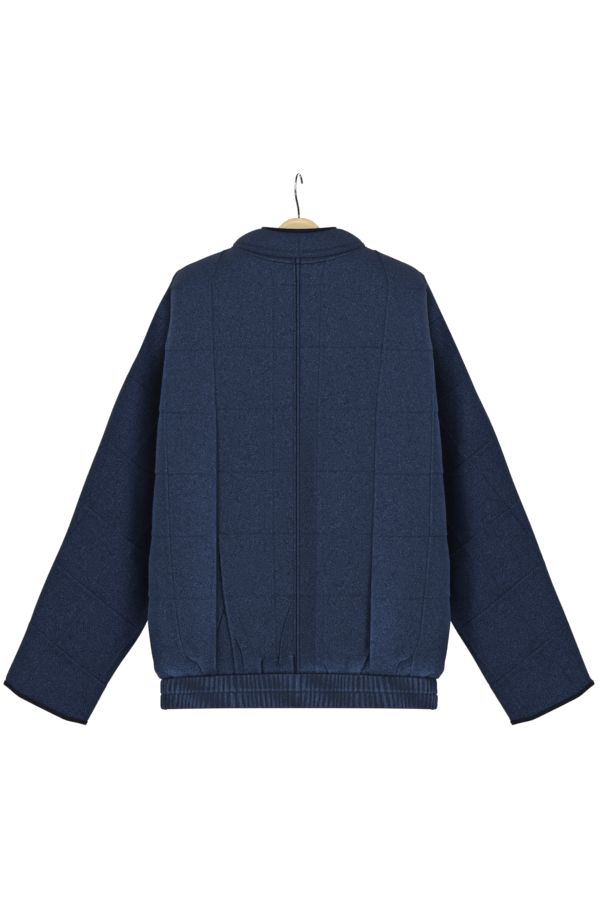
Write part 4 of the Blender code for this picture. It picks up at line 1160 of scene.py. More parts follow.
def body_relief(face, side, arcs, level, down):
    """Height out of the plain section, the share of painted shade (painted light below zero), and the
    distance to the nearest fold.
    """
    seed = face + (0.4 if side == "left" else 1.9)
    pairs = [(arcs - upright_line(side, index, level), level) for index in range(3)]
    pairs += [(side_level(side, arcs, level) - line, arcs) for line in QUILT_LEVELS[:-1]]
    height = quilted(pairs)
    knots = np.array(LEDGE_KNOTS[side])
    share = 1.0 if face > 0 else FRONT_SHARE
    own = np.interp(level, knots[:, 0], knots[:, 1])
    shared = np.mean([np.interp(level, *np.array(table).T) for table in LEDGE_KNOTS.values()], axis=0)
    depth = share * (shared + (own - shared) * smooth_step(arcs / MIDDLE_BLEND))
    inwards = upright_line(side, 1, level) - arcs
    behind = smooth_step(0.5 + inwards / LEDGE_EDGE)
    fall = np.exp(-np.maximum(inwards, 0.0) / LEDGE_FADE)
    settle = LEDGE_REST + (1.0 - LEDGE_REST) * fall
    crest = np.exp(-(np.minimum(inwards, 0.0) / CREST_REACH) ** 2)
    height = height + depth * (CREST_SHARE * crest * (1.0 - behind) - behind * settle)
    # painted shade on the middle just behind the main upright fold, and on the back a painted strip of shade
    # beside the centre seam
    pressed = LEDGE_SHADE * depth / LEDGE_USUAL * behind * fall
    if face > 0:
        start, end, shade = SHADED_STRIPS[side]
        across = smooth_step((arcs - start) / 0.003) * smooth_step((end - arcs) / 0.004)
        pressed = np.maximum(pressed, shade * across * smooth_step((STRIP_TOP - level) / 0.15))
    # painted light on the side panel beside the main upright fold, and a painted highlight along the fold's
    # outer edge
    painted_side_light = (1.0 - behind) * np.exp(-(np.minimum(inwards, 0.0) / SIDE_PAINTED_LIGHT_REACH) ** 2)
    painted_ledge_highlight = (1.0 - behind) * np.exp(-(np.minimum(inwards, 0.0) / LEDGE_PAINTED_HIGHLIGHT_REACH) ** 2)
    pressed = pressed - depth / LEDGE_USUAL * (SIDE_PAINTED_LIGHT * painted_side_light + LEDGE_PAINTED_HIGHLIGHT * painted_ledge_highlight)
    above_hem = down[-1] - down
    grow = smooth_step((BLOUSE_TOP - level) / (BLOUSE_TOP - BLOUSE_FULL))
    grow = grow * smooth_step(above_hem / BLOUSE_FLAT)
    for arc, half_width, lift in BLOUSE_FOLDS:
        height = height + share * lift * grow * np.exp(-2.0 * ((arcs - arc) / half_width) ** 2)
    flat = smooth_step(above_hem / HEM_FLAT) * smooth_step(arcs / MIDDLE_FLAT)
    height = height + creased(arcs, level, BODY_CREASES[(side, face)]) * flat
    height = height + drift(arcs, level, seed) * flat
    lift, fold = tucked(arcs, level, BODY_TUCKS[(side, face)])
    bold = np.clip(depth / LEDGE_BOLD, *LEDGE_BOLD_LIMITS)
    fold = nearer(np.clip(-inwards / bold, -NO_FOLD, NO_FOLD), fold)
    height = height + lift * flat
    phase = 2.0 * math.pi * arcs / GATHER_PITCH + 1.9 * np.sin(arcs * 83.0 + seed)
    gathers = GATHER_HEIGHT * np.sin(phase) * np.exp(-above_hem / GATHER_REACH)
    height = height + gathers * smooth_step(above_hem / 0.003)
    keep = 1.0 - smooth_step((arcs - LAP_START) / (LAP_END - LAP_START))
    height = height * keep
    if face > 0:
        height = height + SEAM_RIDGE * smooth_step((SEAM_WIDTHS[side] - arcs) / 0.0012)
    neck = (arcs < NECK_ARC) * smooth_step((NECK_ARC - arcs) / 0.01)
    ridge = neck * smooth_step((NECK_STITCH - down) / 0.002)
    fold = nearer(np.where(neck > 0.1, 1.3 * (NECK_STITCH - down), NO_FOLD), fold)
    height = height * (1.0 - ridge) + NECK_RIDGE * ridge * smooth_step(down / 0.0012)
    if face > 0:
        fold = nearer(SEAM_THIN[side] * (SEAM_WIDTHS[side] - arcs), fold)
        # painted highlight along the rolled side of the back
        pressed = pressed - painted_roll_highlight(face, arcs, level)
    # painted light on the cloth just above the hem
    inside, outside = HEM_PAINTED_LIGHTS[side]
    painted_hem_light = inside + (outside - inside) * smooth_step((arcs - HEM_PAINTED_LIGHT_ARC) / 0.012)
    pressed = pressed - painted_hem_light * np.exp(-above_hem / HEM_PAINTED_LIGHT_REACH)
    # painted shade along the neck seam
    pressed = pressed + NECK_SHADE * neck * np.exp(-down / NECK_SHADE_REACH)
    # painted shade along the hem seam, where the body hangs over the band
    painted_hem_shade = smooth_step((HEM_LINE[0] - above_hem) / HEM_LINE[1])
    pressed = pressed + (HEM_SHADE - pressed) * painted_hem_shade
    edge = np.minimum(smooth_step(down / 0.004), smooth_step(above_hem / 0.003))
    return height * edge, pressed, fold


# %% Make the four body panels
def panel_name(face, side):
    """The name of a body panel's solid."""
    return ("back_" if face > 0 else "front_") + side


def make_panel(face, side):
    """One half of the back or front, and where its outer face lies."""
    grid, arcs, level, down = BODY[face]
    normals = grid_normals(grid, np.array((0.0, face, 0.0)))
    normals[:, 0, 0] = 0.0
    normals[0, NECK_COLUMNS - 1:, 1] = 0.0
    normals[UNDERARM_ROW:, -1, 1] = 0.0
    normals = unit(normals)
    height, pressed, fold = body_relief(face, side, arcs, level, down)
    outer = grid + normals * height[..., None]
    inner = grid + normals * (np.minimum(height, 0.0) - CLOTH)[..., None]
    outer, inner = on_side(side, outer, inner)
    name = panel_name(face, side)
    cloth_uv = np.stack([arcs, level], axis=-1)
    quilt_uv = body_quilt(side, arcs, level)
    panel = make_wall(name + "_cloth", outer, inner, QUILTED, cloth_uv, pressed, quilt_uv=quilt_uv, fold=fold)
    stand_for(panel, name)
    return panel, outer


PANELS = {}
for face in (1, -1):
    for side in SIDES:
        PANELS[(face, side)] = make_panel(face, side)
        print(PANELS[(face, side)][0].name, "faces:", len(PANELS[(face, side)][0].data.polygons))

# %% [markdown]
# ## The sleeves
#
# A sleeve is a flattened tube from the armhole to the cuff. Its first ring is the armhole itself, taken
# from the edge of the body panels, and the rings then settle into ovals between the outer and the inner
# edge of the sleeve. The sleeve was cut on its own grain, so its quilting runs in slanting lines when it
# hangs.

# %% Sleeve sizes
OUTER_EDGE = (
    (0.1803, -0.1480),
    (0.2002, -0.1882),
    (0.2300, -0.2563),
    (0.2655, -0.3358),
    (0.3010, -0.4267),
    (0.3365, -0.5176),
    (0.3735, -0.6085),
    (0.4047, -0.6880),
    (0.4203, -0.7235),
)
INNER_EDGE = (
    (0.1490, -0.4550),
    (0.1630, -0.4690),
    (0.1790, -0.5100),
    (0.1940, -0.5680),
    (0.2144, -0.6310),
    (0.2545, -0.6965),
    (0.3042, -0.7815),
)
SLEEVE_RINGS = (
    # share of the outer edge, share of the inner edge, half thickness, lean
    (0.000, 0.000, 0.0340, 0.000),
    (0.232, 0.045, 0.0330, 0.000),
    (0.378, 0.095, 0.0320, 0.000),
    (0.533, 0.335, 0.0300, -0.001),
    (0.686, 0.580, 0.0270, -0.003),
    (0.842, 0.822, 0.0245, -0.005),
    (0.989, 0.981, 0.0225, -0.007),
)
RING_FULLNESS = 0.42
ARMHOLE_BLEND = 1.2
CUFF_RUN = 20
CUFF_BULGE = 0.0050
CUFF_BULGE_EASE = 0.25
SLEEVE_ROWS = 208
LOOP_COLUMNS = 70
SEAM_FADE = 0.030
CROSS_DIRECTION = (0.636, -0.772)
CROSS_FIRST = 0.2829
CROSS_PITCH = 0.0900
LONG_DIRECTION = (-0.791, -0.611)
LONG_FIRST = -0.0236
LONG_PITCH = 0.0785
CLEFT_KNOTS = (
    # level, depth of the sleeve's dip beside the rolled side
    (-0.700, 0.000),
    (-0.640, 0.012),
    (-0.600, 0.020),
    (-0.500, 0.028),
    (-0.300, 0.028),
    (-0.240, 0.016),
    (-0.190, 0.004),
    (-0.160, 0.000),
)
CLEFT_REACH = 0.052
CLEFT_UNDER = 0.022
SEAM_HOLD = 0.035
CLEFT_EASE = 0.016
CAP_SHADE = 0.75
CAP_REACH = 0.006
CAP_TOP = -0.156
CAP_PAINTED_LIGHT = 0.70
CAP_STRIP = 0.0125
CAP_STRIP_LEVELS = (-0.170, -0.262)
SLEEVE_BROAD = 1.7
FRONT_CLEFT = 0.35
SLEEVE_CREASES = {
    # x and z at the start, the same at the end, half width, height
    "left": (
        (0.2002, -0.2222, 0.1931, -0.2734, 0.008, 0.0016),
        (0.3180, -0.6480, 0.3394, -0.6770, 0.007, -0.0022),
        (0.3394, -0.6766, 0.3536, -0.7121, 0.007, -0.0022),
        (0.3010, -0.6600, 0.3280, -0.6900, 0.008, 0.0020),
        (0.3394, -0.6700, 0.3650, -0.6760, 0.007, 0.0016),
        (0.3300, -0.7000, 0.3180, -0.7350, 0.008, 0.0016),
        (0.2500, -0.5000, 0.2300, -0.5800, 0.016, 0.0016),
        (0.2900, -0.5200, 0.2760, -0.6100, 0.018, -0.0014),
        (0.2300, -0.3600, 0.2150, -0.4600, 0.018, 0.0014),
    ),
    "right": (
        (0.2002, -0.2222, 0.1931, -0.2734, 0.008, 0.0014),
        (0.3180, -0.6553, 0.3394, -0.6838, 0.007, 0.0022),
        (0.3394, -0.6553, 0.3220, -0.6900, 0.006, -0.0020),
        (0.3420, -0.6766, 0.3564, -0.7192, 0.007, -0.0022),
        (0.3560, -0.6700, 0.3760, -0.7000, 0.008, 0.0018),
        (0.3000, -0.6800, 0.2950, -0.7250, 0.008, 0.0018),
        (0.2440, -0.4900, 0.2260, -0.5900, 0.016, 0.0016),
        (0.2960, -0.5400, 0.2800, -0.6200, 0.018, -0.0014),
        (0.2360, -0.3500, 0.2180, -0.4500, 0.018, 0.0012),
    ),
}
print("sleeve rings:", len(SLEEVE_RINGS))

# %% Sleeve grid
def armhole():
    """The armhole edge of the panels, down the back and up the front."""
    halves = []
    for face in (1, -1):
        edge = BODY[face][0][:UNDERARM_ROW + 1, -1]
        halves.append(along_curve(edge, np.linspace(0.0, arc_lengths(edge)[-1], LOOP_COLUMNS)))
    back, front = halves
    loop = np.vstack([back, front[1:-1][::-1]])
    loop[0, 1] = 0.0
    loop[len(back) - 1, 1] = 0.0
    return loop, len(back) - 1


def sleeve_grid():
    """Rings of points from the armhole to the cuff."""
    loop, low = armhole()
    outer = smooth_curve(OUTER_EDGE, 400)
    inner = smooth_curve(INNER_EDGE, 400)
    outer_length = arc_lengths(outer)[-1]
    inner_length = arc_lengths(inner)[-1]
    chord = loop[low] - loop[0]
    share = np.clip((loop - loop[0]) @ chord / (chord @ chord), 0.0, 1.0)
    share[low] = 1.0
    turn = np.concatenate([np.linspace(0.0, 1.0, low + 1), np.linspace(1.0, 0.0, len(loop) - low + 1)[1:-1]])
    even = 0.5 - 0.5 * np.cos(math.pi * turn)
    side = np.where(np.arange(len(loop)) < low, 1.0, -1.0)
    side[0] = 0.0
    side[low] = 0.0
    run = unit(outer[-1] - outer[-CUFF_RUN] + inner[-1] - inner[-CUFF_RUN])
    rows = np.asarray(SLEEVE_RINGS)
    rings = []
    for step in np.linspace(0.0, len(rows) - 1.0, SLEEVE_ROWS):
        at_outer, at_inner, half_thick, lean = hermite(step, np.arange(len(rows)), rows)
        top = along_curve(outer, at_outer * outer_length)
        bottom = along_curve(inner, at_inner * inner_length)
        blend = float(smooth_step(step / ARMHOLE_BLEND))
        down = (1 - blend) * share + blend * even
        oval = side * np.maximum(1.0 - (2.0 * down - 1.0) ** 2, 0.0) ** RING_FULLNESS
        stray = loop - (loop[0] + share[:, None] * chord)
        line = top + down[:, None] * (bottom - top)
        bulge = CUFF_BULGE * smooth_step(step - len(rows) + 2.0)
        bulge = bulge * smooth_step(down / CUFF_BULGE_EASE) * smooth_step((1.0 - down) / CUFF_BULGE_EASE)
        rings.append(np.stack([line[:, 0] + (1 - blend) * stray[:, 0] + bulge * run[0],
                               (1 - blend) * loop[:, 1] + blend * (lean + half_thick * oval),
                               line[:, 1] + (1 - blend) * stray[:, 2] + bulge * run[1]], axis=-1))
    return np.array(rings)


def sleeve_cleft(grid):
    """The sleeve with its dip where it comes out from under the rolled side, and the painted shade there,
    less a painted strip of light on the cap.
    """
    sections = np.array(BODY_SECTIONS)[::-1]
    past = grid[..., 0] - np.interp(grid[..., 2], sections[:, 0], sections[:, 1])
    open_side = 1.0 - smooth_step(past / CLEFT_REACH)
    under = smooth_step(1.0 + past / CLEFT_UNDER)
    share = np.where(past > 0.0, open_side, under)
    knots = np.array(CLEFT_KNOTS)
    depth = np.interp(grid[..., 2], knots[:, 0], knots[:, 1]) * share
    side = np.where(grid[..., 1] > 0.0, 1.0, -FRONT_CLEFT)
    room = smooth_step(np.abs(grid[..., 1]) / CLEFT_EASE)
    room = room * smooth_step(np.linalg.norm(grid - grid[0], axis=2) / SEAM_HOLD)
    pressed = grid.copy()
    pressed[..., 1] -= side * depth * room
    # painted shade in the dip on the back of the sleeve and along the rolled side's edge, less a painted
    # strip of light on the cap
    back = grid[..., 1] > 0.0
    shade = share * depth / max(knots[:, 1]) * back
    level = grid[..., 2]
    line = CAP_SHADE * np.exp(-np.maximum(past, 0.0) / CAP_REACH) * smooth_step((CAP_TOP - level) / 0.02)
    painted_cap_light = CAP_PAINTED_LIGHT * np.exp(-((past - CAP_STRIP) / CAP_REACH) ** 2)
    strip_top, strip_end = CAP_STRIP_LEVELS
    painted_cap_light *= smooth_step((strip_top - level) / 0.02) * smooth_step((level - strip_end) / 0.03)
    return pressed, shade, np.maximum(shade, line * back) - painted_cap_light * back


SLEEVE, SLEEVE_DIP, SLEEVE_SHADE = sleeve_cleft(sleeve_grid())
print("sleeve grid:", SLEEVE.shape)

# %% Make the sleeves
def slanted_lines(points):
    """Distances from the slanting quilt lines of a sleeve, and the cloth coordinates they make."""
    cross = points[..., 0] * CROSS_DIRECTION[0] + points[..., 2] * CROSS_DIRECTION[1]
    long = points[..., 0] * LONG_DIRECTION[0] + points[..., 2] * LONG_DIRECTION[1]
    pairs = []
    families = ((cross, CROSS_FIRST, CROSS_PITCH, long), (long, LONG_FIRST, LONG_PITCH, cross))
    for value, first, pitch, other in families:
        near = value - first
        pairs.append((near - pitch * np.round(near / pitch), other))
    quilt_uv = np.stack([(long - LONG_FIRST) / LONG_PITCH, (cross - CROSS_FIRST) / CROSS_PITCH], axis=-1)
    return pairs, np.stack([cross, long], axis=-1), quilt_uv


def make_sleeve(side):
    """One sleeve with its slanting quilting and creases."""
    centre = SLEEVE.mean(axis=1, keepdims=True)
    normals = grid_normals(SLEEVE, SLEEVE - centre, closed=True)
    pairs, cloth_uv, quilt_uv = slanted_lines(SLEEVE)
    height = quilted(pairs, SLEEVE_BROAD) * smooth_step(np.abs(SLEEVE[..., 1]) / 0.020) * (1.0 - SLEEVE_DIP)
    seed = 2.6 if side == "left" else 5.1
    height = height + creased(SLEEVE[..., 0], SLEEVE[..., 2], SLEEVE_CREASES[side])
    height = height + 1.3 * drift(SLEEVE[..., 0] + 2.0 * SLEEVE[..., 1], SLEEVE[..., 2], seed)
    from_seam = np.linalg.norm(SLEEVE - SLEEVE[0], axis=2)
    to_cuff = np.linalg.norm(SLEEVE - SLEEVE[-1], axis=2)
    fade = smooth_step(from_seam / SEAM_FADE) * smooth_step(to_cuff / 0.006)
    outer = SLEEVE + normals * (height * fade)[..., None]
    inner = SLEEVE + normals * (np.minimum(height * fade, 0.0) - CLOTH)[..., None]
    outer, inner = on_side(side, outer, inner)
    sleeve = make_wall(f"sleeve_{side}_cloth", outer, inner, SLEEVE_CLOTH, cloth_uv, SLEEVE_SHADE,
                       closed=True, quilt_uv=quilt_uv)
    stand_for(sleeve, f"sleeve_{side}")
    return sleeve, outer, normals


SLEEVES = {side: make_sleeve(side) for side in SIDES}
print("sleeve faces:", [len(s[0].data.polygons) for s in SLEEVES.values()])

# %% [markdown]
# ## Collar, bindings and cuffs
#
# The collar is a short stand of the same cloth in two halves that meet at the centre back. It leans
# inwards as it rises. A dark stretch binding folds over its top edge, and the same binding finishes the
# cuffs. The bindings are rounded in section, so they are swept with a half-round profile.

# %% Collar
COLLAR_ROWS = 26
COLLAR_ROUND = 1.55
COLLAR_TOP_WIDTH = 0.553
COLLAR_TOP_DEPTHS = {1: 0.66, -1: 0.86}
COLLAR_TOP_LEVEL = -0.0752
COLLAR_DIPS = {1: 0.0089, -1: 0.0300}
COLLAR_STITCH = 0.010
PRESS_WIDTH = 0.0016
COLLAR_PRESS = 0.0012


def neck_line():
    """The neck seam from the centre back round to the front opening."""
    back = BODY[1][0][0, :NECK_COLUMNS]
    front = BODY[-1][0][0, :NECK_COLUMNS - 1][::-1]
    line = np.vstack([back, front])
    line[NECK_COLUMNS - 1, 1] = 0.0
    return line


def collar_grid():
    """Rows of points from the neck seam to the top edge of half the collar."""
    base = neck_line()
    behind = base[:, 1] > 0
    cos = np.clip(base[:, 1] / np.where(behind, NECK_DEPTHS[1], NECK_DEPTHS[-1]), -1.0, 1.0)
    top = COLLAR_TOP_LEVEL - np.where(behind, COLLAR_DIPS[1], COLLAR_DIPS[-1]) * cos * cos
    depth = np.where(behind, COLLAR_TOP_DEPTHS[1], COLLAR_TOP_DEPTHS[-1])
    rows = []
    for rise in 1.0 - (1.0 - np.linspace(0.0, 1.0, COLLAR_ROWS)) ** 1.6:
        drawn = 1.0 - (1.0 - rise ** COLLAR_ROUND) ** (1.0 / COLLAR_ROUND)
        rows.append(np.stack([base[:, 0] * (1 - (1 - COLLAR_TOP_WIDTH) * drawn),
                              base[:, 1] * (1 - (1 - depth) * drawn),
                              base[:, 2] + SEAM_GAP + (top - base[:, 2] - SEAM_GAP) * rise], axis=-1))
    grid = np.array(rows)
    grid[:, 0, 0] = base[0, 0]
    grid[:, -1, 0] = base[-1, 0]
    return grid


COLLAR = collar_grid()


def make_collar(side):
    """Half the collar, with a stitched line above the neck seam."""
    normals = grid_normals(COLLAR, COLLAR * np.array((1.0, 1.0, 0.0)))
    normals[:, (0, -1), 0] = 0.0
    normals = unit(normals)
    up = down_columns(COLLAR)
    around = np.tile(arc_lengths(COLLAR[0]), (COLLAR_ROWS, 1))
    # painted shade along the stitched line, the centre back seam and the neck seam; the same share presses
    # the cloth in a little
    pressed = 0.55 * np.exp(-((up - COLLAR_STITCH) / PRESS_WIDTH) ** 2)
    pressed = np.maximum(pressed, 0.45 * np.exp(-(around / 0.0010) ** 2))
    pressed = np.maximum(pressed, 0.70 * np.exp(-up / 0.0016))
    soft = drift(around, up * 3.0, 1.3 if side == "left" else 4.4)
    soft = soft * smooth_step(up / 0.006) * smooth_step((up[-1] - up) / 0.008) * smooth_step(around / 0.012)
    height = soft - COLLAR_PRESS * pressed
    outer = COLLAR + normals * height[..., None]
    inner = COLLAR - normals * CLOTH
    outer, inner = on_side(side, outer, inner)
    cloth_uv = np.stack([around, up], axis=-1)
    collar = make_wall(f"collar_{side}_cloth", outer, inner, COLLAR_CLOTH, cloth_uv, pressed)
    stand_for(collar, f"collar_{side}")
    return collar, outer, up


COLLARS = {side: make_collar(side) for side in SIDES}
print("collar faces:", [len(c[0].data.polygons) for c in COLLARS.values()])

# %% Rounded bindings
BINDING_SIDES = 14
BINDING_PROUD = 0.0010
CUFF_BINDING = 0.0065
COLLAR_BINDING_BACK = 0.0080
COLLAR_BINDING_SIDE = 0.0022
BINDING_WIDTH = 0.012
BINDING_ROUND = 0.6


def plan_normals(line):
    """Level normals of a line round the jacket, pointing out."""
    run = np.gradient(line[:, :2], axis=0)
    normals = unit(np.stack([-run[:, 1], run[:, 0], np.zeros(len(line))], axis=-1))
    normals = normals * np.sign(np.sum(normals[:, :2] * line[:, :2]))
    normals[(0, -1), :] = (0.0, -1.0, 0.0)
    return normals


def rolled_edge(name, edge, out, on, height, closed):
    """A soft rounded binding along a cloth edge: out of the cloth and on past its edge."""
    turn = np.linspace(0.0, math.pi, BINDING_SIDES)
    half = CLOTH / 2 + BINDING_PROUD
    across = np.sign(np.cos(turn)) * np.abs(np.cos(turn)) ** BINDING_ROUND * half - CLOTH / 2
    rise = np.abs(np.sin(turn)) ** BINDING_ROUND
    outer = np.array([edge + out * a + on * (SEAM_GAP + r * height)[:, None] for a, r in zip(across, rise)])
    flat = np.linspace(across[0], across[-1], BINDING_SIDES)
    inner = np.array([edge + out * a + on * SEAM_GAP for a in flat])
    around = np.tile(arc_lengths(edge), (BINDING_SIDES, 1))
    over = np.tile(np.linspace(0.0, BINDING_WIDTH, BINDING_SIDES)[:, None], (1, len(edge)))
    cloth_uv = np.stack([around, over], axis=-1)
    return make_wall(name, outer, inner, BINDING, cloth_uv, np.zeros(outer.shape[:2]), closed)


def make_bindings():
    """The collar's binding and both cuffs' bindings."""
    made = {}
    edge = np.vstack([mirrored(COLLAR[-1, 1:])[::-1], COLLAR[-1]])
    edge[len(edge) // 2, 0] = 0.0
    cos = np.abs(edge[:, 1]) / np.abs(edge[:, 1]).max()
    height = COLLAR_BINDING_SIDE + (COLLAR_BINDING_BACK - COLLAR_BINDING_SIDE) * cos * cos
    up = np.tile((0.0, 0.0, 1.0), (len(edge), 1))
    made["collar_binding"] = rolled_edge("collar_binding_cloth", edge, plan_normals(edge), up, height, False)
    normals = SLEEVES["left"][2][-1]
    run = np.tile(unit((SLEEVE[-1] - SLEEVE[-2]).mean(axis=0)), (len(SLEEVE[-1]), 1))
    tall = np.full(len(SLEEVE[-1]), CUFF_BINDING)
    for side in SIDES:
        node = f"cuff_binding_{side}"
        made[node] = rolled_edge(f"{node}_cloth", *on_side(side, SLEEVE[-1], normals, run), tall, True)
    for node, piece in made.items():
        stand_for(piece, node)
    return made


BINDINGS = make_bindings()
print("bindings:", sorted(BINDINGS))

# %% [markdown]
# ## The hem band
#
# Two elastics run in channels inside the band and draw the cloth into narrow upright gathers. A stitched
# line between the channels presses the middle flat. The gathers are uneven, so their rhythm wanders
# along the band.

# %% Band
BAND_BOTTOM = -0.7590
BAND_COLUMNS = 860
BAND_ROWS = 37
BAND_GAP = -0.0003
BAND_RISE = 0.0062
RIB_PITCH = 0.0068
RIB_HEIGHT = 0.0040


def band_line():
    """The hem seam round the jacket from one front edge to the other, with its rise."""
    points = []
    for face in (1, -1):
        curve = section_curve(HEM_LEVEL, face)
        length = arc_lengths(curve)[-1]
        arcs = np.linspace(FRONT_OPENING if face < 0 else 0.0, length, 160)
        points.append(np.column_stack([along_curve(curve, arcs), HEM_RISE * (1.0 - (arcs / length) ** 2)]))
    half = np.vstack([points[0], points[1][::-1][1:]])
    whole = np.vstack([mirrored(half[1:])[::-1], half])
    return along_curve(whole, np.linspace(0.0, arc_lengths(whole)[-1], BAND_COLUMNS))


def make_band():
    """The gathered band with its two channels."""
    line = band_line()
    normals = plan_normals(line)
    around = arc_lengths(line)
    phase = (2.0 * math.pi * around / RIB_PITCH + 2.6 * np.sin(around * 61.0)
             + 1.9 * np.sin(around * 27.0 + 1.0) + 1.2 * np.sin(around * 149.0 + 2.0))
    second = 2.0 * math.pi * around / (0.61 * RIB_PITCH) + 2.2 * np.sin(around * 73.0 + 0.7)
    shares = np.linspace(0.0, 1.0, BAND_ROWS)
    outer = []
    inner = []
    pressed = []
    top = HEM_LEVEL + line[:, 2] - BAND_GAP
    bottom = BAND_BOTTOM + BAND_RISE * (1.0 - (1.0 - line[:, 2] / HEM_RISE) ** 2) * (line[:, 1] > 0.0)
    for share in shares:
        base = np.column_stack([line[:, :2], top + (bottom - top) * share])
        channel = 1.0 - 0.55 * math.exp(-((share - 0.5) / 0.03) ** 2)
        channel *= 1.0 - math.exp(-share / 0.05) - math.exp(-(1.0 - share) / 0.04)
        shift = 1.3 * np.sin(around * 19.0) if share > 0.5 else 0.0
        lean = 6.0 * np.sin(around * 33.0 + 3.0) * (share - 0.5) + shift
        rib = (0.5 + 0.34 * np.sin(phase + lean) + 0.16 * np.sin(second - lean)) ** 1.1
        strong = 0.66 + 0.34 * np.sin(around * 87.0 + 5.0 * share) * np.sin(around * 21.0 + 1.4)
        outer.append(base + normals * (RIB_HEIGHT * channel * (0.15 + 0.85 * rib * strong) - 0.0002)[:, None])
        inner.append(base - normals * CLOTH)
        # painted shade in the rib troughs, at the top and bottom edges and along the middle stitched line,
        # with painted light just above that line
        painted_shade_line = 0.55 * math.exp(-((share - 0.525) / 0.022) ** 2)
        painted_light_line = 0.38 * math.exp(-((share - 0.45) / 0.028) ** 2)
        ends = 0.75 * math.exp(-share / 0.03) + 0.85 * math.exp(-(1.0 - share) / 0.05)
        painted_rib_shade = 1.15 * (1.0 - rib * strong) ** 1.25 * (0.7 + 0.3 * channel)
        pressed.append(np.clip(np.maximum(painted_rib_shade, ends) + (painted_shade_line - painted_light_line), -0.5, 0.95))
    level = np.tile((shares * (HEM_LEVEL - BAND_BOTTOM))[:, None], (1, BAND_COLUMNS))
    cloth_uv = np.stack([np.tile(around, (BAND_ROWS, 1)), level], axis=-1)
    outer = np.array(outer)
    band = make_wall("hem_band_cloth", outer, np.array(inner), BAND_CLOTH, cloth_uv, np.array(pressed))
    stand_for(band, "hem_band")
    return band, outer


BAND, BAND_OUTER = make_band()
print("band faces:", len(BAND.data.polygons))

# %% [markdown]
# ## Stitching
#
# Thread shows as short dashes along every quilted line, beside the neck seam and along the middle of the
# band. Each dash is a small spindle. All of them are made at once as arrays of points and joined in one
# mesh.

# %% Stitches
STITCH = 0.0030
STITCH_PITCH = 0.0041
THREAD_RADIUS = 0.00032
SPINDLE = ((-1.0, 0.3), (0.0, 1.0), (1.0, 0.3))
SPINDLE_SIDES = 4


def crossing_points(values, points):
    """Points of a grid line by line where a value changes sign along its rows."""
    found = []
    for row_values, row_points in zip(values, points):
        change = np.nonzero(row_values[:-1] * row_values[1:] < 0)[0]
        if len(change):
            at = change[0]
            share = row_values[at] / (row_values[at] - row_values[at + 1])
            found.append(row_points[at] + share * (row_points[at + 1] - row_points[at]))
    return np.array(found)


def contour(values, points):
    """Short pieces of a line where a value crosses zero over a grid of points."""
    segments = []
    for axis in (0, 1):
        grid_values = values if axis == 0 else values.T
        grid_points = points if axis == 0 else points.transpose(1, 0, 2)
        line = crossing_points(grid_values, grid_points)
        if len(line) > 2:
            segments.append(line)
    return max(segments, key=len) if segments else np.zeros((0, 3))


def dashes(line):
    """Middle and half run of each stitch along a line of points."""
    length = arc_lengths(line)[-1]
    starts = np.arange(0.5 * STITCH_PITCH, length - STITCH, STITCH_PITCH)
    if not len(starts):
        return np.zeros((0, 3)), np.zeros((0, 3))
    first = along_curve(line, starts)
    last = along_curve(line, starts + STITCH)
    return 0.5 * (first + last), 0.5 * (last - first)


def make_stitches(name, lines):
    """One mesh of all the stitches along some lines."""
    pieces = [dashes(line) for line in lines if len(line) > 2]
    middles = np.vstack([middle for middle, _ in pieces])
    runs = np.vstack([run for _, run in pieces])
    side = unit(np.cross(runs, np.array((0.31, 0.74, 0.59))))
    other = unit(np.cross(runs, side))
    rings = []
    for along, thick in SPINDLE:
        for turn in np.arange(SPINDLE_SIDES) * 2.0 * math.pi / SPINDLE_SIDES:
            offset = math.cos(turn) * side + math.sin(turn) * other
            rings.append(middles + along * runs + THREAD_RADIUS * thick * offset)
    points = np.stack(rings, axis=1)
    one = grid_quads(len(SPINDLE), SPINDLE_SIDES, closed=True)
    last = (len(SPINDLE) - 1) * SPINDLE_SIDES
    one = np.vstack([one[:, ::-1], [np.arange(SPINDLE_SIDES)], [last + np.arange(SPINDLE_SIDES)[::-1]]])
    count = points.shape[1]
    quads = (one[None] + np.arange(len(points))[:, None, None] * count).reshape(-1, 4)
    uv = np.tile(np.repeat(np.linspace(0.0, STITCH, len(SPINDLE)), SPINDLE_SIDES)[:, None], (len(points), 2))
    thread = make_mesh(name, points.reshape(-1, 3), quads, THREAD, uv, np.zeros(points.shape[0] * count))
    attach(thread, "jacket")
    return thread


def panel_lines(face, side):
    """The stitched lines of a body panel on its outer face."""
    _, arcs, level, down = BODY[face]
    outer = PANELS[(face, side)][1]
    shown = arcs[-1] < LAP_END
    reach = np.max(np.nonzero(shown)) + 1
    arcs, level, down, outer = arcs[:, :reach], level[:, :reach], down[:, :reach], outer[:, :reach]
    lines = [contour(arcs - upright_line(side, index, level), outer) for index in range(3)]
    stepped = side_level(side, arcs, level)
    lines += [contour((stepped - line).T, outer.transpose(1, 0, 2)) for line in QUILT_LEVELS]
    near_neck = slice(0, NECK_COLUMNS)
    lines.append(contour((down - NECK_STITCH)[:, near_neck].T, outer[:, near_neck].transpose(1, 0, 2)))
    return lines


def sleeve_lines(side):
    """The slanting stitched lines of a sleeve, on its back and front."""
    outer = SLEEVES[side][1]
    half = outer.shape[1] // 2
    base = outer if side == "left" else mirrored(outer)
    lines = []
    for direction, first, pitch, count in ((CROSS_DIRECTION, CROSS_FIRST, CROSS_PITCH, 7),
                                           (LONG_DIRECTION, LONG_FIRST, LONG_PITCH, 4)):
        value = base[..., 0] * direction[0] + base[..., 2] * direction[1]
        for step in range(-1, count):
            for columns in (slice(2, half - 1), slice(half + 2, None)):
                lines.append(contour((value - first - pitch * step)[8:-3, columns], outer[8:-3, columns]))
    return lines


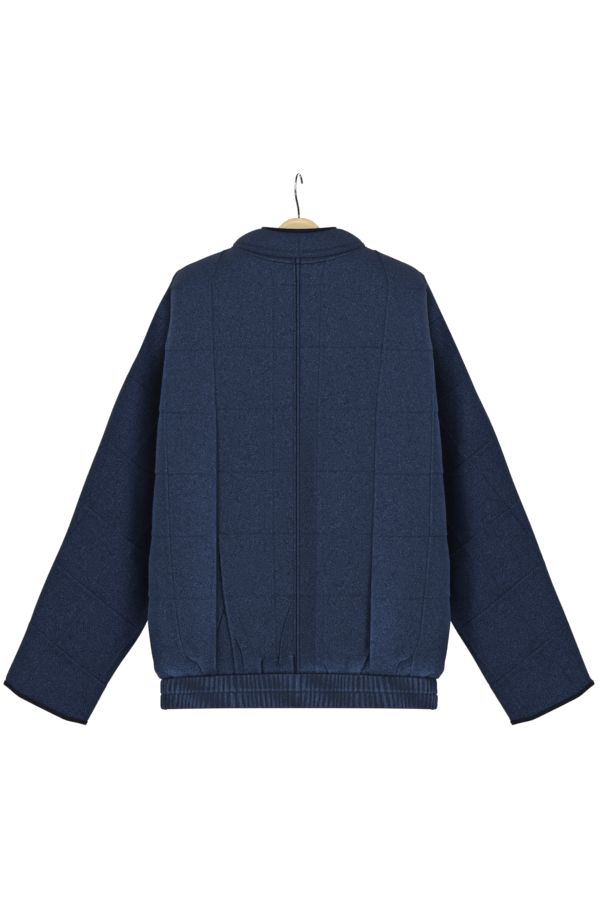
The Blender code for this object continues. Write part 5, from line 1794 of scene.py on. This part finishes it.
STITCHES = []
for face in (1, -1):
    for side in SIDES:
        STITCHES.append(make_stitches(panel_name(face, side) + "_stitches", panel_lines(face, side)))
for side in SIDES:
    STITCHES.append(make_stitches(f"sleeve_{side}_stitches", sleeve_lines(side)))
    collar_line = contour((COLLARS[side][2] - COLLAR_STITCH).T, COLLARS[side][1].transpose(1, 0, 2))
    STITCHES.append(make_stitches(f"collar_{side}_stitches", [collar_line]))
STITCHES.append(make_stitches("hem_band_stitches", [BAND_OUTER[BAND_ROWS // 2]]))
print("stitch faces:", sum(len(piece.data.polygons) for piece in STITCHES))

# %% [markdown]
# ## Zip
#
# The zip is closed. Its tapes and the bar that the chain forms keep the solid's shape, and get a woven
# finish. The teeth are separate moulded blocks, set left and right in turn along the chain, so they are
# made in a loop from the line of the chain, which is read from the frame.

# %% Teeth
TOOTH_PITCH = 0.0026
TOOTH_HALF = (0.0026, 0.00055, 0.00095)
TOOTH_STANDS = 0.0004


def chain_line():
    """The middle of the chain from the collar to the hem, read from the left tape."""
    points = np.array([v.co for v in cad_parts["zip_tape_left"].data.vertices])
    near = points[points[:, 0] < points[:, 0].min() + 1e-4]
    levels = np.unique(near[:, 2].round(5))
    line = np.array([near[np.abs(near[:, 2] - level) < 2e-5][:, 1].min() for level in levels])
    keep = np.concatenate(([True], np.diff(levels) > 0.004))
    smooth = np.column_stack([np.zeros(keep.sum()), line[keep], levels[keep]])
    return smooth[np.argsort(-smooth[:, 2])]


def make_teeth():
    """All the teeth as one mesh, and how many there are."""
    line = chain_line()
    at = np.arange(0.004, arc_lengths(line)[-1] - 0.004, TOOTH_PITCH / 2)
    middle = along_curve(line, at)
    down = unit(along_curve(line, at + 0.001) - along_curve(line, at - 0.001))
    out = np.stack([np.zeros(len(at)), down[:, 2], -down[:, 1]], axis=-1)
    sign = np.where(np.arange(len(at)) % 2 == 0, 1.0, -1.0)
    across = np.stack([sign, np.zeros(len(at)), np.zeros(len(at))], axis=-1)
    corners = []
    for layer, shrink in ((-1.0, 1.0), (0.3, 1.0), (1.0, 0.72)):
        for x, d in ((-0.28, -1.0), (1.0, -0.8), (1.0, 0.8), (-0.28, 1.0)):
            aside = across * (TOOTH_HALF[0] * x * shrink)
            along = down * (TOOTH_HALF[1] * d * shrink)
            corners.append(middle + aside + along + out * (TOOTH_STANDS + TOOTH_HALF[2] * layer))
    points = np.stack(corners, axis=1)
    one = np.vstack([grid_quads(3, 4, closed=True), [[3, 2, 1, 0]], [[8, 9, 10, 11]]])
    quads = (one[None] + np.arange(len(points))[:, None, None] * 12).reshape(-1, 4)
    teeth = make_mesh("zip_teeth", points.reshape(-1, 3), quads, ZIP_METAL)
    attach(teeth, "jacket")
    return len(at)


print("zip teeth:", make_teeth())

# %% Tapes, slider and pull
def finish_node(name, material, bevel=None):
    """Give a node of the frame its finish, and soften its edges."""
    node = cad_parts[name]
    node.data.materials.clear()
    node.data.materials.append(material)
    if bevel:
        soften = node.modifiers.new("soften", "BEVEL")
        soften.width = bevel
        soften.segments = 3
        soften.limit_method = "ANGLE"
        node.data.shade_smooth()
        node.data.set_sharp_from_angle(angle=SHARP)
    return node


TAPES = [finish_node(f"zip_tape_{side}", TAPE) for side in SIDES]
for name in ("zip_slider", "zip_pull"):
    finish_node(name, ZIP_METAL, 0.00035)
print("zip tapes:", [tape.name for tape in TAPES])

# %% [markdown]
# ## Hanger
#
# The hanger is turned and sanded wood, round along every edge, with a dome in the middle where the hook
# is set. The hook is one bent wire. Both are swept again here with more sides, so that they look round
# from close by.

# %% Wood and wire
HANGER_SECTIONS = (
    # x, top level, height, half depth
    (0.000, -0.0604, 0.040, 0.0065),
    (0.010, -0.0612, 0.040, 0.0065),
    (0.022, -0.0670, 0.037, 0.0065),
    (0.034, -0.0790, 0.031, 0.0065),
    (0.055, -0.0950, 0.026, 0.0065),
    (0.080, -0.1068, 0.025, 0.0065),
    (0.100, -0.1136, 0.025, 0.0060),
    (0.130, -0.1212, 0.024, 0.0060),
    (0.158, -0.1322, 0.021, 0.0055),
    (0.166, -0.1391, 0.013, 0.0045),
)
HANGER_SIDES = 72
HANGER_ROUND = 0.50
RIM_LINE = 0.80
RIM_LINE_WIDTH = 0.07
RIM_LINE_DEPTH = 0.12
HOOK_SIDES = 14
HOOK_WIRE = 0.0016
HOOK_RADIUS = 0.0210
HOOK_TURN = math.radians(76.0)
HOOK_STEM = ((0.0008, -0.0540), (0.0045, -0.0460), (0.0105, -0.0390))
HOOK_ARC = (math.radians(-38.0), math.radians(155.0))


def swept(name, sections, material):
    """A closed piece through rings of points, with its ends drawn to a middle ring."""
    rings = np.concatenate([sections[:1], sections, sections[-1:]])
    rings[0] = sections[0].mean(axis=0)
    rings[-1] = sections[-1].mean(axis=0)
    rows, columns = rings.shape[:2]
    quads = grid_quads(rows, columns, closed=True)
    return make_mesh(name, rings.reshape(-1, 3), quads, material)


def make_hanger():
    """The wooden hanger."""
    half = np.asarray(HANGER_SECTIONS)
    whole = np.vstack([(half * np.array((-1.0, 1.0, 1.0, 1.0)))[:0:-1], half])
    table = hermite(np.linspace(whole[0, 0], whole[-1, 0], 120), whole[:, 0], whole)
    turn = (np.arange(HANGER_SIDES) + 0.5) * 2.0 * math.pi / HANGER_SIDES
    round_y = np.sign(np.cos(turn)) * np.abs(np.cos(turn)) ** HANGER_ROUND
    round_z = np.sign(np.sin(turn)) * np.abs(np.sin(turn)) ** HANGER_ROUND
    round_y = round_y * (1.0 - RIM_LINE_DEPTH * np.exp(-((np.abs(round_z) - RIM_LINE) / RIM_LINE_WIDTH) ** 2))
    sections = []
    for x, top, height, depth in table:
        level = top - height / 2 + round_z * height / 2
        sections.append(np.column_stack([np.full(HANGER_SIDES, x), round_y * depth, level]))
    return swept("hanger_wood_turned", np.array(sections), HANGER_WOOD)


def make_hook():
    """The hook wire from the wood up and over the rail."""
    centre = HOOK_WIRE - HOOK_RADIUS
    stem = ((0.0, HANGER_SECTIONS[0][1] - 0.0005),) + HOOK_STEM
    angles = np.linspace(*HOOK_ARC, 14)
    arc = tuple((HOOK_RADIUS * math.cos(a), centre + HOOK_RADIUS * math.sin(a)) for a in angles)
    path = smooth_curve(stem + arc, 110)
    turn = np.array((math.cos(HOOK_TURN), math.sin(HOOK_TURN), 0.0))
    side = np.array((-math.sin(HOOK_TURN), math.cos(HOOK_TURN), 0.0))
    line = path[:, :1] * turn + path[:, 1:] * np.array((0.0, 0.0, 1.0))
    across = np.cross(unit(np.gradient(line, axis=0)), side)
    ring = np.arange(HOOK_SIDES) * 2.0 * math.pi / HOOK_SIDES
    wire = np.full(len(line), HOOK_WIRE)
    wire[-2:] = HOOK_WIRE * np.array((0.85, 0.5))
    around = np.cos(ring)[:, None] * side + np.sin(ring)[:, None] * across[:, None]
    sections = line[:, None] + wire[:, None, None] * around
    return swept("hanger_hook_wire", sections, HOOK_STEEL)


HANGER = make_hanger()
HOOK = make_hook()
stand_for(HANGER, "hanger_wood")
stand_for(HOOK, "hanger_hook")
print("hanger faces:", len(HANGER.data.polygons), "hook faces:", len(HOOK.data.polygons))
